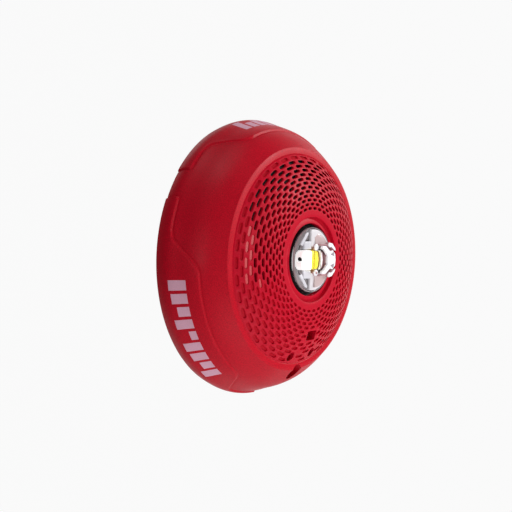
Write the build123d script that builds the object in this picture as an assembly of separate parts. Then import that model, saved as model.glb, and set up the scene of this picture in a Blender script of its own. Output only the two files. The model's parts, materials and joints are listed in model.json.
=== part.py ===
from build123d import *
import math
import os

# A round wall or ceiling fire-alarm sounder with an LED strobe in its middle.
# Millimetres. The wall is the plane y = 0, the face looks along -Y and +Z is 12 o'clock.
# Depth in front of the wall is therefore -y. Clock angles run clockwise as seen from the front.

# ---- driving dimensions -------------------------------------------------
BODY_DEPTH = 44.0             # wall to the edge where the side meets the face band
RIM_GAP = 2.0                 # housing rim to wall
DOME_HEIGHT = 13.0            # face edge to the crown of the grille
DOME_MIDDLE = (49.2, 9.75)    # radius and height half way up the dome
BAR_HEIGHT = 18.5             # face edge to the front of the strobe's optic bar
WALL = 2.2                    # moulded wall thickness
RAISED_LAYER = 0.9            # flange and pads stand this proud of the side wall
PAD_TURNS = (6.5, 120, 240)
NOTCH_TURNS = (64.5, 172.7, 304.5)
NOTCH_WIDTH = 20.0            # gaps in the raised flange for a fingertip
POST_TURNS = (45, 135, 225, 315)
POST_CIRCLE = 71.5

BAND_OUTER = 69.6             # smooth band round the face
BAND_INNER = 65.3
GRILLE_EDGE = 65.0            # the grille insert leaves a 0.3 mm line inside the band
GRILLE_EDGE_HEIGHT = 0.7
CROWN_RADIUS = 30.5           # flat ring round the strobe
RECESS_RADIUS = 26.4
STROBE_HOLE = 22.4
RECESS_DEPTH = 2.6
LIP_DEPTH = 1.4               # the recess floor rises towards the strobe
GRILLE_WALL = 2.0

SLOT_RINGS = 13
SLOTS_PER_RING = 38
FIRST_RING_RADIUS = 63.06
RING_STEP = 2.605
SLOT_WIDTH = 1.75
SLOT_SHARE = 0.64             # slot length as a share of the pitch round its ring
SLOT_TURN = 1.15              # clock angle of the first slot
BLIND_DEPTH = 0.95

WINDOW_CENTRE = (3.4, -47.5)  # shows the light setting
WINDOW_SIZE = (9.4, 6.0)
WELLS = ((-9.9, -59.8), (11.9, -59.2))
WELL_RADIUS = 2.9
RECESS_SCREW_RADIUS = 4.9
BOSS_RADIUS = 7.0

PLATE_RADIUS = 79.5
PLATE_WALL = 2.6
PIVOT_Z = 76.0                # hook line at 12 o'clock
PIVOT_DEPTH = 3.4
HOOK_RADIUS = 1.3
HOOK_XS = (-9.0, 9.0)
HOOK_WIDTH = 8.0
RUNNING_GAP = 0.05

SCREW_X = 2.4
SCREW_Z = -71.2               # captive screw, just off 6 o'clock
SCREW_SEAT = 14.0             # depth of the recess floor
SCREW_TRAVEL = 5.95
SHANK_RADIUS = 1.75

COVER_DEPTH = 10.0            # rear face of the rear cover
COVER_WALL = 2.0
COVER_RADIUS = 80.0
BOARD_DEPTH = 22.0            # rear face of the main board
BOARD_WALL = 1.6
BOARD_RADIUS = 64.0
BOARD_SCREWS = ((-52.0, 24.0), (52.0, 24.0), (-36.0, -46.0), (36.0, -46.0))

TERMINAL_XS = (-16.5, -5.5, 5.5, 16.5)
TERMINAL_BLOCK_X = 22.0
TERMINAL_BLOCK_Z = (-36.0, -20.0)
TERMINAL_BLOCK_DEPTH = 13.0
PIN_Z = -23.0

CHAMBER_FLOOR = 33.0          # rear face of the sound chamber's floor
CHAMBER_WALL = 1.6
SOUNDER_Z = 45.2
SOUNDER_RADIUS = 13.5

SLIDER_CENTRE = (3.4, -52.0)
SLIDER_TRAVEL = 15.0
SELECTOR_CENTRE = (-24.0, -54.0)
SELECTOR_RADIUS = 3.4

LED_BOARD_DEPTH = 46.0
LENS_RADIUS = 20.9
STROBE_TURN = 2.5             # the optic bar is turned a little clockwise from level
RECESS_BACK = 52.0            # rear face of the recess floor, on the lens seal

os.makedirs("parts", exist_ok=True)


# ---- helpers ------------------------------------------------------------
def depth_plane(depth):
    """Plane parallel to the wall, `depth` in front of it, that extrudes away from the wall."""
    return Plane(origin=(0, -depth, 0), x_dir=(1, 0, 0), z_dir=(0, -1, 0))


def raise_up(sketch, near, far):
    """Extrude a sketch drawn in X and Z from one depth to a greater one."""
    return extrude(depth_plane(near) * sketch, amount=far - near)


def turned(points):
    """Solid of revolution about the device axis from (radius, depth) corners."""
    outline = Polyline([(radius, -depth) for radius, depth in points], close=True)
    return revolve(make_face(outline), axis=Axis.Y)


def ring(inner, outer, near, far):
    return turned([(inner, near), (outer, near), (outer, far), (inner, far)])


def disc(x, z, radius, near, far):
    return raise_up(Pos(x, z) * Circle(radius), near, far)


def tube(x, z, inner, outer, near, far):
    return disc(x, z, outer, near, far) - disc(x, z, inner, near, far)


def rectangle(x_range, z_range):
    centre = Pos((x_range[0] + x_range[1]) / 2, (z_range[0] + z_range[1]) / 2)
    return centre * Rectangle(x_range[1] - x_range[0], z_range[1] - z_range[0])


def block(x_range, z_range, near, far):
    return raise_up(rectangle(x_range, z_range), near, far)


def bar_along_x(x_range, z, depth, radius):
    """A round bar along X."""
    plane = Plane(origin=(x_range[0], -depth, z), x_dir=(0, 1, 0), z_dir=(1, 0, 0))
    return extrude(plane * Circle(radius), amount=x_range[1] - x_range[0])


def clock(radius, degrees):
    angle = math.radians(degrees)
    return radius * math.sin(angle), radius * math.cos(angle)


def around(centre, reach):
    return centre - reach, centre + reach


def group(solids):
    """Separate solids that share one node."""
    return Compound(children=list(solids))


def fused(solids):
    solids = list(solids)
    return solids[0].fuse(*solids[1:])


def side_depth(height):
    """Depth from the wall of a point `height` above the face edge."""
    return BODY_DEPTH + height


# ---- front housing ------------------------------------------------------
SIDE_PROFILE = (
    (RIM_GAP - BODY_DEPTH, 83.3),
    (-33.6, 85.6),
    (-25.3, 83.7),
    (-16.8, 81.2),
    (-8.45, 76.9),
    (0.0, BAND_OUTER),
)
FLANGE_HEIGHT = -31.0         # the raised flange ends here
PAD_HEIGHT = -13.0            # and the three pads reach up to here
PAD_HALF_WIDTHS = (56.0, 39.5)


def side_solid(offset):
    """The solid inside the curved side wall, moved out by `offset`."""
    points = [(radius + offset, -side_depth(height)) for height, radius in SIDE_PROFILE]
    curve = Spline(points)
    start = curve @ 0
    end = curve @ 1
    closing = Polyline((end.X, end.Y), (0, end.Y), (0, start.Y), (start.X, start.Y))
    return revolve(make_face([curve, closing]), axis=Axis.Y)


def pad_prism(turn):
    """A wide trapezium with rounded corners, extruded outward at one clock angle."""
    wide, narrow = PAD_HALF_WIDTHS
    step = -side_depth(FLANGE_HEIGHT)
    top = -side_depth(PAD_HEIGHT)
    left = [(-wide, step + 4), (-wide, step), (-narrow, top)]
    right = [(-x, y) for x, y in reversed(left)]
    outline = Polyline(left + right, close=True)
    face = make_face(outline)
    face = fillet([corner for corner in face.vertices() if corner.Y < step + 1], 5)
    upright = extrude(Plane.XY.offset(30) * face, amount=70)
    return upright.rotate(Axis.Y, turn)


def housing_cavity():
    """The space inside the side wall."""
    return side_solid(-WALL) & ring(0, 100, 0, side_depth(-4.4))


def whole_housing():
    """The side wall, its raised layer, the band at its front and the posts inside."""
    mask = ring(30, 100, 0, side_depth(FLANGE_HEIGHT))
    for turn in NOTCH_TURNS:
        gap = Pos(0, -side_depth(FLANGE_HEIGHT) / 2, 85) * Box(NOTCH_WIDTH, BODY_DEPTH, 20)
        mask -= gap.rotate(Axis.Y, turn)
    mask = fused([mask] + [pad_prism(turn) for turn in PAD_TURNS])
    outer = side_solid(0) + (side_solid(RAISED_LAYER) & mask)
    seat = side_depth(GRILLE_EDGE_HEIGHT - GRILLE_WALL)
    band_top = side_depth(0.8)
    outer += turned([
        (BAND_INNER, side_depth(-3)),
        (BAND_OUTER, side_depth(-3)),
        (BAND_OUTER, side_depth(0)),
        (BAND_OUTER - 0.6, side_depth(0.35)),
        (BAND_INNER, band_top),
    ])
    outer -= ring(0, BAND_INNER, seat, band_top + 2)
    shell = outer - housing_cavity()
    shell -= disc(0, 0, 62.0, 0, side_depth(3))
    front = side_depth(-3)
    posts = [disc(*clock(POST_CIRCLE, turn), 4.0, COVER_DEPTH + COVER_WALL, front) for turn in POST_TURNS]
    core = side_solid(-0.4)
    shell = fused([shell] + [post & core for post in posts])
    cuts = [disc(*clock(POST_CIRCLE, turn), 1.3, 0, 22) for turn in POST_TURNS]
    cuts += [disc(x, z, WELL_RADIUS + 1.5, 20, side_depth(2)) for x, z in WELLS]
    cuts.append(disc(SCREW_X, SCREW_Z, RECESS_SCREW_RADIUS, SCREW_SEAT, 60))
    return shell.cut(*cuts)


def boss_column():
    """The cylinder round the screw recess that divides the boss from the rest of the housing."""
    return disc(SCREW_X, SCREW_Z, BOSS_RADIUS, SCREW_SEAT - 2, side_depth(3))


def make_front_housing():
    return whole_housing() - boss_column()


def make_screw_boss():
    """The tube round the screw recess, from the skin to the seat of the captive screw."""
    column = boss_column()
    boss = (column & housing_cavity()) + (column & whole_housing())
    boss -= disc(SCREW_X, SCREW_Z, RECESS_SCREW_RADIUS, SCREW_SEAT, 60)
    return boss - disc(SCREW_X, SCREW_Z, SHANK_RADIUS + 0.35, 0, 20)


# ---- grille -------------------------------------------------------------
def dome_arc(offset):
    """The grille's curved section, `offset` behind its front surface."""
    return ThreePointArc(
        (GRILLE_EDGE, -side_depth(GRILLE_EDGE_HEIGHT - offset)),
        (DOME_MIDDLE[0], -side_depth(DOME_MIDDLE[1] - offset)),
        (CROWN_RADIUS, -side_depth(DOME_HEIGHT - offset)),
    )


def dome_depth(radius):
    """Depth of the grille's front surface at a radius."""
    arc = dome_arc(0)
    centre = arc.arc_center
    reach = arc.radius
    return -centre.Y + math.sqrt(reach ** 2 - (radius - centre.X) ** 2)


def slot_is_open(x, z):
    """Slots over the sound chamber go through, and the rest are blind."""
    radius = math.hypot(x, z)
    if radius > FIRST_RING_RADIUS - RING_STEP / 2 or abs(x) > 53.0:
        return False
    return z > (-5.0 if radius < 35.5 else -10.5)


def near_lower_hole(x, z):
    """True where a slot would run into the window, a well or the screw recess."""
    window_x = abs(x - WINDOW_CENTRE[0]) < WINDOW_SIZE[0] / 2 + 2.4
    window_z = abs(z - WINDOW_CENTRE[1]) < WINDOW_SIZE[1] / 2 + 1.3
    in_well = any(math.hypot(x - well[0], z - well[1]) < WELL_RADIUS + 2.6 for well in WELLS)
    in_recess = math.hypot(x - SCREW_X, z - SCREW_Z) < RECESS_SCREW_RADIUS + 2.6
    return (window_x and window_z) or in_well or in_recess


def slot_cutter(radius, angle, floor):
    """A short curved slot, centred on a clock angle, cut along the device axis."""
    pitch = 360 / SLOTS_PER_RING
    half = SLOT_WIDTH / 2
    front = -side_depth(DOME_HEIGHT + 1)
    inner = radius - half
    outer = radius + half
    section = Polyline([(inner, -floor), (outer, -floor), (outer, front), (inner, front)], close=True)
    sector = revolve(make_face(section), axis=Axis.Y, revolution_arc=pitch * SLOT_SHARE)
    return sector.rotate(Axis.Y, angle - 90 - pitch * SLOT_SHARE / 2)


def slot_cutters():
    cutters = []
    pitch = 360 / SLOTS_PER_RING
    for number in range(SLOT_RINGS):
        radius = FIRST_RING_RADIUS - RING_STEP * number
        stagger = SLOT_TURN + (pitch / 2 if number % 2 == 0 else 0)
        blind_floor = dome_depth(radius) - BLIND_DEPTH
        for place in range(SLOTS_PER_RING):
            angle = place * pitch + stagger
            x, z = clock(radius, angle)
            if not near_lower_hole(x, z):
                floor = side_depth(-2) if slot_is_open(x, z) else blind_floor
                cutters.append(slot_cutter(radius, angle, floor))
    return cutters


def make_front_grille():
    crown = side_depth(DOME_HEIGHT)
    inner_line = Polyline(
        (CROWN_RADIUS, -crown),
        (RECESS_RADIUS, -crown),
        (RECESS_RADIUS, RECESS_DEPTH - crown),
        (STROBE_HOLE, LIP_DEPTH - crown),
        (STROBE_HOLE, -RECESS_BACK),
        (RECESS_RADIUS + GRILLE_WALL, -RECESS_BACK),
        (RECESS_RADIUS + GRILLE_WALL, -crown + GRILLE_WALL),
        (CROWN_RADIUS, -crown + GRILLE_WALL),
    )
    edge = side_depth(GRILLE_EDGE_HEIGHT)
    edge_line = Line((GRILLE_EDGE, -edge), (GRILLE_EDGE, -edge + GRILLE_WALL))
    dome = revolve(make_face([dome_arc(0), inner_line, dome_arc(GRILLE_WALL), edge_line]), axis=Axis.Y)
    additions = [disc(x, z, WELL_RADIUS + 1.2, side_depth(-6), side_depth(2.4)) for x, z in WELLS]
    frame = Pos(*WINDOW_CENTRE) * Rectangle(WINDOW_SIZE[0] + 2.4, WINDOW_SIZE[1] + 2.4)
    additions.append(raise_up(frame, side_depth(-9), side_depth(7.9)))
    dome = dome.fuse(*additions)
    cuts = [disc(x, z, WELL_RADIUS, side_depth(-4.8), 70) for x, z in WELLS]
    cuts.append(raise_up(Pos(*WINDOW_CENTRE) * Rectangle(*WINDOW_SIZE), 20, 70))
    cuts.append(disc(SCREW_X, SCREW_Z, RECESS_SCREW_RADIUS + 0.3, 20, 70))
    dome = dome.cut(*cuts)
    return dome.cut(*slot_cutters())


# ---- sound chamber and sounder ------------------------------------------
CHAMBER_INNER = 29.0
CHAMBER_OUTER = 61.0
CHAMBER_HALF_WIDTH = 54.5
CHAMBER_BOTTOM = -15.5
CHAMBER_LEGS = ((-48.0, -9.0), (48.0, -9.0), (-32.0, 42.0), (32.0, 42.0))


def chamber_body(inset, floor):
    """Space between the strobe and the dome's edge, behind the open slots."""
    inner = CHAMBER_INNER + inset
    outer = CHAMBER_OUTER - inset
    top = GRILLE_WALL + 0.3
    curve = ThreePointArc(
        (inner, top - dome_depth(inner + 1.5)),
        (45.0, top - dome_depth(45.0)),
        (outer, top - dome_depth(outer)),
    )
    sides = Polyline(curve @ 1, (outer, -floor), (inner, -floor), curve @ 0)
    ring_part = revolve(make_face([curve, sides]), axis=Axis.Y)
    reach = CHAMBER_HALF_WIDTH - inset
    return ring_part & block((-reach, reach), (CHAMBER_BOTTOM + inset, 80), floor, 60)


def make_horn_chamber():
    body = chamber_body(0, CHAMBER_FLOOR)
    body -= extrude_forward(chamber_body(CHAMBER_WALL, CHAMBER_FLOOR + CHAMBER_WALL))
    body -= disc(0, SOUNDER_Z, SOUNDER_RADIUS - 1.5, 30, 40)
    legs = [disc(x, z, 2.5, BOARD_DEPTH + BOARD_WALL, CHAMBER_FLOOR) for x, z in CHAMBER_LEGS]
    return body.fuse(*legs)


def extrude_forward(solid):
    """The solid joined to a copy one wall nearer the face, so that a cut leaves an open front."""
    return solid + Pos(0, -CHAMBER_WALL * 2, 0) * solid


def make_chamber_gasket():
    return tube(0, SOUNDER_Z, SOUNDER_RADIUS - 1.2, SOUNDER_RADIUS + 0.8, CHAMBER_FLOOR - 1, CHAMBER_FLOOR)


def make_sounder_diaphragm():
    return disc(0, SOUNDER_Z, SOUNDER_RADIUS, CHAMBER_FLOOR - 1.3, CHAMBER_FLOOR - 1)


def make_piezo_element():
    return disc(0, SOUNDER_Z, SOUNDER_RADIUS - 3.5, CHAMBER_FLOOR - 1.6, CHAMBER_FLOOR - 1.3)


def make_sounder_retainer():
    rear = CHAMBER_FLOOR - 3.5
    body = tube(0, SOUNDER_Z, SOUNDER_RADIUS - 1.0, SOUNDER_RADIUS + 0.8, rear, CHAMBER_FLOOR - 1.3)
    body += tube(0, SOUNDER_Z, SOUNDER_RADIUS + 0.8, SOUNDER_RADIUS + 2.0, rear, CHAMBER_FLOOR)
    return body


def make_sounder_contacts():
    board_front = BOARD_DEPTH + BOARD_WALL
    pins = []
    for x in (-5.0, 5.0):
        pin = disc(x, SOUNDER_Z, 0.6, board_front + 3, CHAMBER_FLOOR - 1.6)
        pin += disc(x, SOUNDER_Z, 1.4, board_front, board_front + 3)
        pins.append(pin)
    return group(pins)


# ---- strobe -------------------------------------------------------------
LENS_FRONT = side_depth(13.5)
LENS_FACE = side_depth(12.2)
LENS_FACE_WALL = 1.4
BAR_FRONT = side_depth(BAR_HEIGHT)
BAR_REACH = 18.4
BAR_HALF_HEIGHT = 6.1
ARM_INNER = -8.0
EMITTER_HALF_WIDTH = 4.2
OPTIC_RADIUS = 6.4
FLANGE_DEPTHS = (48.0, 50.0)


def across_bar(depth, radius, z_reach):
    """A round bar along Z at the middle of the strobe."""
    plane = Plane(origin=(0, -depth, -z_reach), x_dir=(1, 0, 0), z_dir=(0, 0, 1))
    return extrude(plane * Circle(radius), amount=2 * z_reach)


def lens_petal(side):
    """A clear wedge above or below the optic bar that leans back towards the rim."""
    petal = disc(0, 0, LENS_RADIUS - 1.8, LENS_FACE - 0.5, side_depth(15.4))
    petal &= block((-0.6, 20), sided(side, 9.5, 20), 50, 70)
    lean = Plane(origin=(-1.0, -side_depth(15.2), side * 12.0), z_dir=(0.10, -1, side * 0.12))
    return split(petal, bisect_by=lean, keep=Keep.BOTTOM)


def sided(side, near, far):
    """The range from near to far above the middle, or its mirror image below."""
    return (near, far) if side > 0 else (-far, -near)


def make_strobe_lens():
    rear, flange_front = FLANGE_DEPTHS
    rim = LENS_RADIUS - 1.6
    shell = turned([
        (rim, rear),
        (LENS_RADIUS + 3.6, rear),
        (LENS_RADIUS + 3.6, flange_front),
        (LENS_RADIUS, flange_front),
        (LENS_RADIUS - 0.4, LENS_FRONT - 0.5),
        (LENS_RADIUS - 0.9, LENS_FRONT),
        (rim - 0.3, LENS_FRONT),
        (rim - 0.6, LENS_FACE),
        (0, LENS_FACE),
        (0, LENS_FACE - LENS_FACE_WALL),
        (rim, LENS_FACE - LENS_FACE_WALL),
    ])
    rear = LENS_FACE - 0.5
    parts = [lens_petal(1), lens_petal(-1)]
    parts.append(block((7.0, BAR_REACH), (-4.8, 4.8), rear, BAR_FRONT) & disc(0, 0, BAR_REACH, 40, 70))
    for side in (-1, 1):
        parts.append(block((12.0, 17.4), sided(side, 5.6, 9.6), rear, side_depth(17.8)))
        parts.append(block((12.0, 14.0), sided(side, 4.0, 6.5), rear, side_depth(17.0)))
        parts.append(block((2.2, 6.4), sided(side, 7.0, 10.2), rear, side_depth(15.8)))
        parts.append(block((-11.7, -3.1), sided(side, 6.9, 11.0), rear, side_depth(13.6)))
    shell = shell.fuse(*parts)
    shell -= block((-18.7, 6.7), around(0, BAR_HALF_HEIGHT + 0.3), 45, 70)
    return shell.rotate(Axis.Y, STROBE_TURN)


def make_lens_seal():
    return ring(LENS_RADIUS + 0.3, LENS_RADIUS + 3.6, FLANGE_DEPTHS[1], RECESS_BACK)


def make_led_carrier():
    base_front = LED_BOARD_DEPTH + 3.0
    base = disc(0, 0, LENS_RADIUS - 2.2, LED_BOARD_DEPTH + 1.6, base_front)
    arm = block((-BAR_REACH, ARM_INNER), around(0, BAR_HALF_HEIGHT), base_front, BAR_FRONT)
    arm &= disc(0, 0, BAR_REACH, 40, 70)
    stage = block((ARM_INNER, OPTIC_RADIUS), around(0, BAR_HALF_HEIGHT), base_front, side_depth(12.0))
    end_plane = Plane(origin=(-20, -side_depth(16.2), 0.6), x_dir=(0, 1, 0), z_dir=(1, 0, 0))
    carrier = base + arm + stage - extrude(end_plane * Circle(1.1), amount=6)
    return carrier.rotate(Axis.Y, STROBE_TURN)


def make_led_emitter():
    reach = EMITTER_HALF_WIDTH
    emitter = block((-reach, reach), (-5.4, 5.4), side_depth(12.0), side_depth(14.6))
    return emitter.rotate(Axis.Y, STROBE_TURN)


def make_led_optic():
    centre = side_depth(12.0)
    body = across_bar(centre, OPTIC_RADIUS, BAR_HALF_HEIGHT)
    body -= across_bar(centre, OPTIC_RADIUS - 1.4, BAR_HALF_HEIGHT)
    body &= block((-8, 8), (-8, 8), centre, 70)
    return body.rotate(Axis.Y, STROBE_TURN)


def make_led_board():
    return disc(0, 0, LENS_RADIUS - 2.2, LED_BOARD_DEPTH, LED_BOARD_DEPTH + 1.6)


def make_heat_spreader():
    return disc(0, 0, LENS_RADIUS - 2.2, LED_BOARD_DEPTH - 1.5, LED_BOARD_DEPTH)


def make_strobe_pedestal():
    column = ring(15.5, 17.5, BOARD_DEPTH + BOARD_WALL, LED_BOARD_DEPTH - 1.5)
    column += ring(15.5, LENS_RADIUS + 3.6, LED_BOARD_DEPTH - 3.5, LED_BOARD_DEPTH - 1.5)
    return column + ring(LENS_RADIUS - 1.6, LENS_RADIUS + 3.6, LED_BOARD_DEPTH - 1.5, FLANGE_DEPTHS[0])


def make_led_pins():
    rear = BOARD_DEPTH + BOARD_WALL
    return group(disc(x, 0, 0.5, rear, LED_BOARD_DEPTH - 1.5) for x in (-3.8, -1.3, 1.3, 3.8))


# ---- main board ---------------------------------------------------------
def slider_slot(margin):
    x, z = SLIDER_CENTRE
    return rectangle(around(x, SLIDER_TRAVEL / 2 + 2.0 + margin), around(z, 1.0 + margin))


def make_main_board():
    board = disc(0, 0, BOARD_RADIUS, BOARD_DEPTH, BOARD_DEPTH + BOARD_WALL)
    cuts = [disc(x, z, 1.5, 20, 26) for x, z in BOARD_SCREWS]
    cuts += [block(around(x, 2.05), around(PIN_Z, 0.35), 20, 26) for x in TERMINAL_XS]
    cuts.append(raise_up(slider_slot(0.3), 20, 26))
    cuts.append(disc(SCREW_X, SCREW_Z, 9.0, 20, 26))
    return board.cut(*cuts)


def make_capacitors():
    front = BOARD_DEPTH + BOARD_WALL
    return group(disc(x, z, 4.8, front, front + 10) for x, z in ((-32.0, -28.0), (-44.0, -24.0)))


def make_coil_core():
    front = BOARD_DEPTH + BOARD_WALL
    core = block((20, 38), (-38, -24), front, front + 9.5)
    core -= block((23, 26.5), (-38, -24), front + 2.5, front + 7)
    return core - block((31.5, 35), (-38, -24), front + 2.5, front + 7)


def make_coil_winding():
    front = BOARD_DEPTH + BOARD_WALL
    winding = block((23.2, 34.8), (-40.5, -21.5), front + 2.7, front + 6.8)
    return winding - block((26.3, 31.7), (-38.2, -23.8), front + 2, front + 8)


def make_driver_chips():
    front = BOARD_DEPTH + BOARD_WALL
    lower = ((-14.0, -32.0, 10, 7), (6.0, -33.0, 8, 6))
    upper = ((-50.0, 6.0, 7, 5), (50.0, 6.0, 6, 6), (0.0, 24.0, 9, 6))
    chips = []
    for x, z, width, height in lower + upper:
        chips.append(block(around(x, width / 2), around(z, height / 2), front, front + 1.8))
    return group(chips)


def make_contact_blades():
    board_front = BOARD_DEPTH + BOARD_WALL
    return group(block(around(x, 2.0), around(PIN_Z, 0.3), 6.5, board_front + 1.5) for x in TERMINAL_XS)


def make_board_screws():
    front = BOARD_DEPTH + BOARD_WALL
    return group(screw_solid(x, z, 1.2, 2.7, front, front + 1.7, 16.0, -1) for x, z in BOARD_SCREWS)


def screw_solid(x, z, shank, head, seat, head_end, tip, side):
    """A pan-head screw with a cross recess. The head runs from seat to head_end, the shank to tip."""
    body = disc(x, z, head, min(seat, head_end), max(seat, head_end))
    body += disc(x, z, shank, min(seat, tip), max(seat, tip))
    floor = head_end + side * 0.9
    depths = sorted((floor, head_end))
    for width, height in ((head * 1.1, 0.7), (0.7, head * 1.1)):
        body -= block(around(x, width / 2), around(z, height / 2), *depths)
    return body


# ---- rear cover and its controls ----------------------------------------
POCKET_X = 27.0
POCKET_Z = (-42.0, -14.0)
POCKET_FLOOR = 16.0


def make_rear_cover():
    front = COVER_DEPTH + COVER_WALL
    pocket_wall = COVER_WALL - 0.4
    inner_x = POCKET_X - pocket_wall
    inner_z = (POCKET_Z[0] + pocket_wall, POCKET_Z[1] - pocket_wall)
    cover = disc(0, 0, COVER_RADIUS, COVER_DEPTH, front)
    additions = [block((-POCKET_X, POCKET_X), POCKET_Z, COVER_DEPTH, POCKET_FLOOR + pocket_wall)]
    additions.append(ring(COVER_RADIUS - 2, COVER_RADIUS, front, front + 4))
    additions += [disc(x, z, 3.2, front, BOARD_DEPTH) for x, z in BOARD_SCREWS]
    for x in HOOK_XS:
        reach = around(x, HOOK_WIDTH / 2 - 0.3)
        additions.append(block(reach, around(PIVOT_Z, 0.6), PIVOT_DEPTH, COVER_DEPTH))
        additions.append(block(reach, around(PIVOT_Z, 1.6), COVER_DEPTH - 3, COVER_DEPTH))
        additions.append(bar_along_x(reach, PIVOT_Z, PIVOT_DEPTH, HOOK_RADIUS))
    cover = cover.fuse(*additions)
    cuts = [block((-inner_x, inner_x), inner_z, COVER_DEPTH, POCKET_FLOOR)]
    cuts += [block(around(x, 2.6), around(PIN_Z, 0.9), 15, 20) for x in TERMINAL_XS]
    cuts += [disc(*clock(POST_CIRCLE, turn), 1.7, 5, 13) for turn in POST_TURNS]
    cuts += [disc(*clock(POST_CIRCLE, turn), 4.4, front, 20) for turn in POST_TURNS]
    cuts += [disc(x, z, 1.25, 14, BOARD_DEPTH) for x, z in BOARD_SCREWS]
    cuts.append(disc(SCREW_X, SCREW_Z, 8.0, 5, 20))
    cuts.append(block(around(SCREW_X, 8), (-85, SCREW_Z), 5, 20))
    cuts.append(disc(*SELECTOR_CENTRE, SELECTOR_RADIUS + 0.8, 5, 14))
    cuts.append(raise_up(slider_slot(0.5), 5, 14))
    return cover.cut(*cuts)


def make_cover_screws():
    solids = []
    for turn in POST_TURNS:
        x, z = clock(POST_CIRCLE, turn)
        solids.append(screw_solid(x, z, 1.25, 2.9, COVER_DEPTH, COVER_DEPTH - 1.8, 20.0, 1))
    return group(solids)


def make_tone_switch():
    x, z = SELECTOR_CENTRE
    body = block(around(x, 5.5), around(z, 5.5), 16.5, BOARD_DEPTH)
    return body - disc(x, z, SELECTOR_RADIUS + RUNNING_GAP, 10, 21)


def make_tone_selector():
    x, z = SELECTOR_CENTRE
    rotor = disc(x, z, SELECTOR_RADIUS, 10.6, 20.8)
    rotor -= block(around(x, 2.6), around(z, 0.5), 10, 12.2)
    return rotor - Pos(x + 2.6, -10.6, z) * Box(0.9, 1.0, 0.5)


def make_light_switch():
    x, z = SLIDER_CENTRE
    body = block(around(x, 13), around(z, 3.8), 17.0, BOARD_DEPTH)
    return body - raise_up(slider_slot(0.3), 10, 30)


def make_light_slider():
    x, z = SLIDER_CENTRE
    slider = block(around(x, 1.8), around(z, 0.9), 8.0, 31.5)
    slider += block(around(x, 3.4), around(z, 2.4), 7.6, COVER_DEPTH - 0.4)
    slider += block(around(x, 12.6), (-54.0, -44.6), 31.5, 33.0)
    for step in range(-3, 4):
        slider -= block(around(x + step * 2.5, 0.35), (-50.5, -46.5), 32.6, 33.0)
    return slider


# ---- captive screw ------------------------------------------------------
def make_captive_screw():
    seat = SCREW_SEAT + SCREW_TRAVEL
    return screw_solid(SCREW_X, SCREW_Z, SHANK_RADIUS, 3.6, seat, seat + 2.5, 6.8, -1)


def make_screw_retainer():
    return tube(SCREW_X, SCREW_Z, SHANK_RADIUS + RUNNING_GAP, 3.3, SCREW_SEAT - 2.8, SCREW_SEAT - 2.05)


# ---- mounting plate -----------------------------------------------------
GANG_SPACING = 83.3
OCTAGON_SPACING = 88.9
GANG_HOLE_RADIUS = 2.2
OCTAGON_HOLE_RADIUS = 2.4
WIRE_ENTRY_X = 21.0
WIRE_ENTRY_Z = (5.0, 35.0)
INSERT_RADIUS = 3.0


def make_mounting_plate():
    plate = disc(0, 0, PLATE_RADIUS, 0, PLATE_WALL)
    additions = [ring(PLATE_RADIUS - 2.2, PLATE_RADIUS - 0.4, PLATE_WALL, 6.0)]
    additions.append(ring(60.0, 61.6, PLATE_WALL, 5.0))
    entry = rectangle((-WIRE_ENTRY_X, WIRE_ENTRY_X), WIRE_ENTRY_Z)
    collar = offset(entry, 2.0) - entry
    additions.append(raise_up(collar, PLATE_WALL, 4.6))
    additions.append(disc(SCREW_X, SCREW_Z, 5.5, PLATE_WALL, 4.8))
    for x in (-GANG_SPACING / 2, GANG_SPACING / 2):
        additions.append(disc(0, x, 5.2, PLATE_WALL, 3.6))
    for x in (-OCTAGON_SPACING / 2, OCTAGON_SPACING / 2):
        additions.append(disc(x, 0, 5.6, PLATE_WALL, 3.6))
    plate = plate.fuse(*additions)
    plate -= block((-17, 17), (65.5, 85), PLATE_WALL, 10)
    sockets = []
    for x in HOOK_XS:
        socket = block(around(x, HOOK_WIDTH / 2), (PIVOT_Z - 2.4, PIVOT_Z + 2.0), 0, PIVOT_DEPTH + 0.5)
        sockets.append(socket)
    plate = plate.fuse(*sockets)
    cuts = [bar_along_x((-17, 17), PIVOT_Z, PIVOT_DEPTH, HOOK_RADIUS + RUNNING_GAP)]
    cuts.append(raise_up(entry, -1, 10))
    cuts.append(disc(SCREW_X, SCREW_Z, INSERT_RADIUS, -1, 10))
    cuts += [disc(0, z, GANG_HOLE_RADIUS, -1, 10) for z in (-GANG_SPACING / 2, GANG_SPACING / 2)]
    cuts += [disc(x, 0, OCTAGON_HOLE_RADIUS, -1, 10) for x in (-OCTAGON_SPACING / 2, OCTAGON_SPACING / 2)]
    return plate.cut(*cuts)


def make_thread_insert():
    return tube(SCREW_X, SCREW_Z, SHANK_RADIUS + RUNNING_GAP, INSERT_RADIUS, 0.4, 4.8)


# ---- terminal block -----------------------------------------------------
WELL_Z = (-34.5, -26.5)
STRIP_DEPTHS = (3.4, 4.2)
SPRING_Z = (-24.8, -24.4)


def make_terminal_block():
    body = block(around(0, TERMINAL_BLOCK_X), TERMINAL_BLOCK_Z, PLATE_WALL, TERMINAL_BLOCK_DEPTH)
    cuts = []
    for x in TERMINAL_XS:
        cuts.append(block(around(x, 4.3), WELL_Z, STRIP_DEPTHS[0], TERMINAL_BLOCK_DEPTH))
        cuts.append(block(around(x, 2.2), (TERMINAL_BLOCK_Z[0], WELL_Z[1]), STRIP_DEPTHS[1], 7.4))
        spring_way = (SPRING_Z[0] - 0.1, PIN_Z + 1.3)
        cuts.append(block(around(x, 2.6), spring_way, STRIP_DEPTHS[0], TERMINAL_BLOCK_DEPTH))
        cuts.append(block(around(x, 2.1), (WELL_Z[1], PIN_Z), STRIP_DEPTHS[0], STRIP_DEPTHS[1]))
    return body.cut(*cuts)


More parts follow.
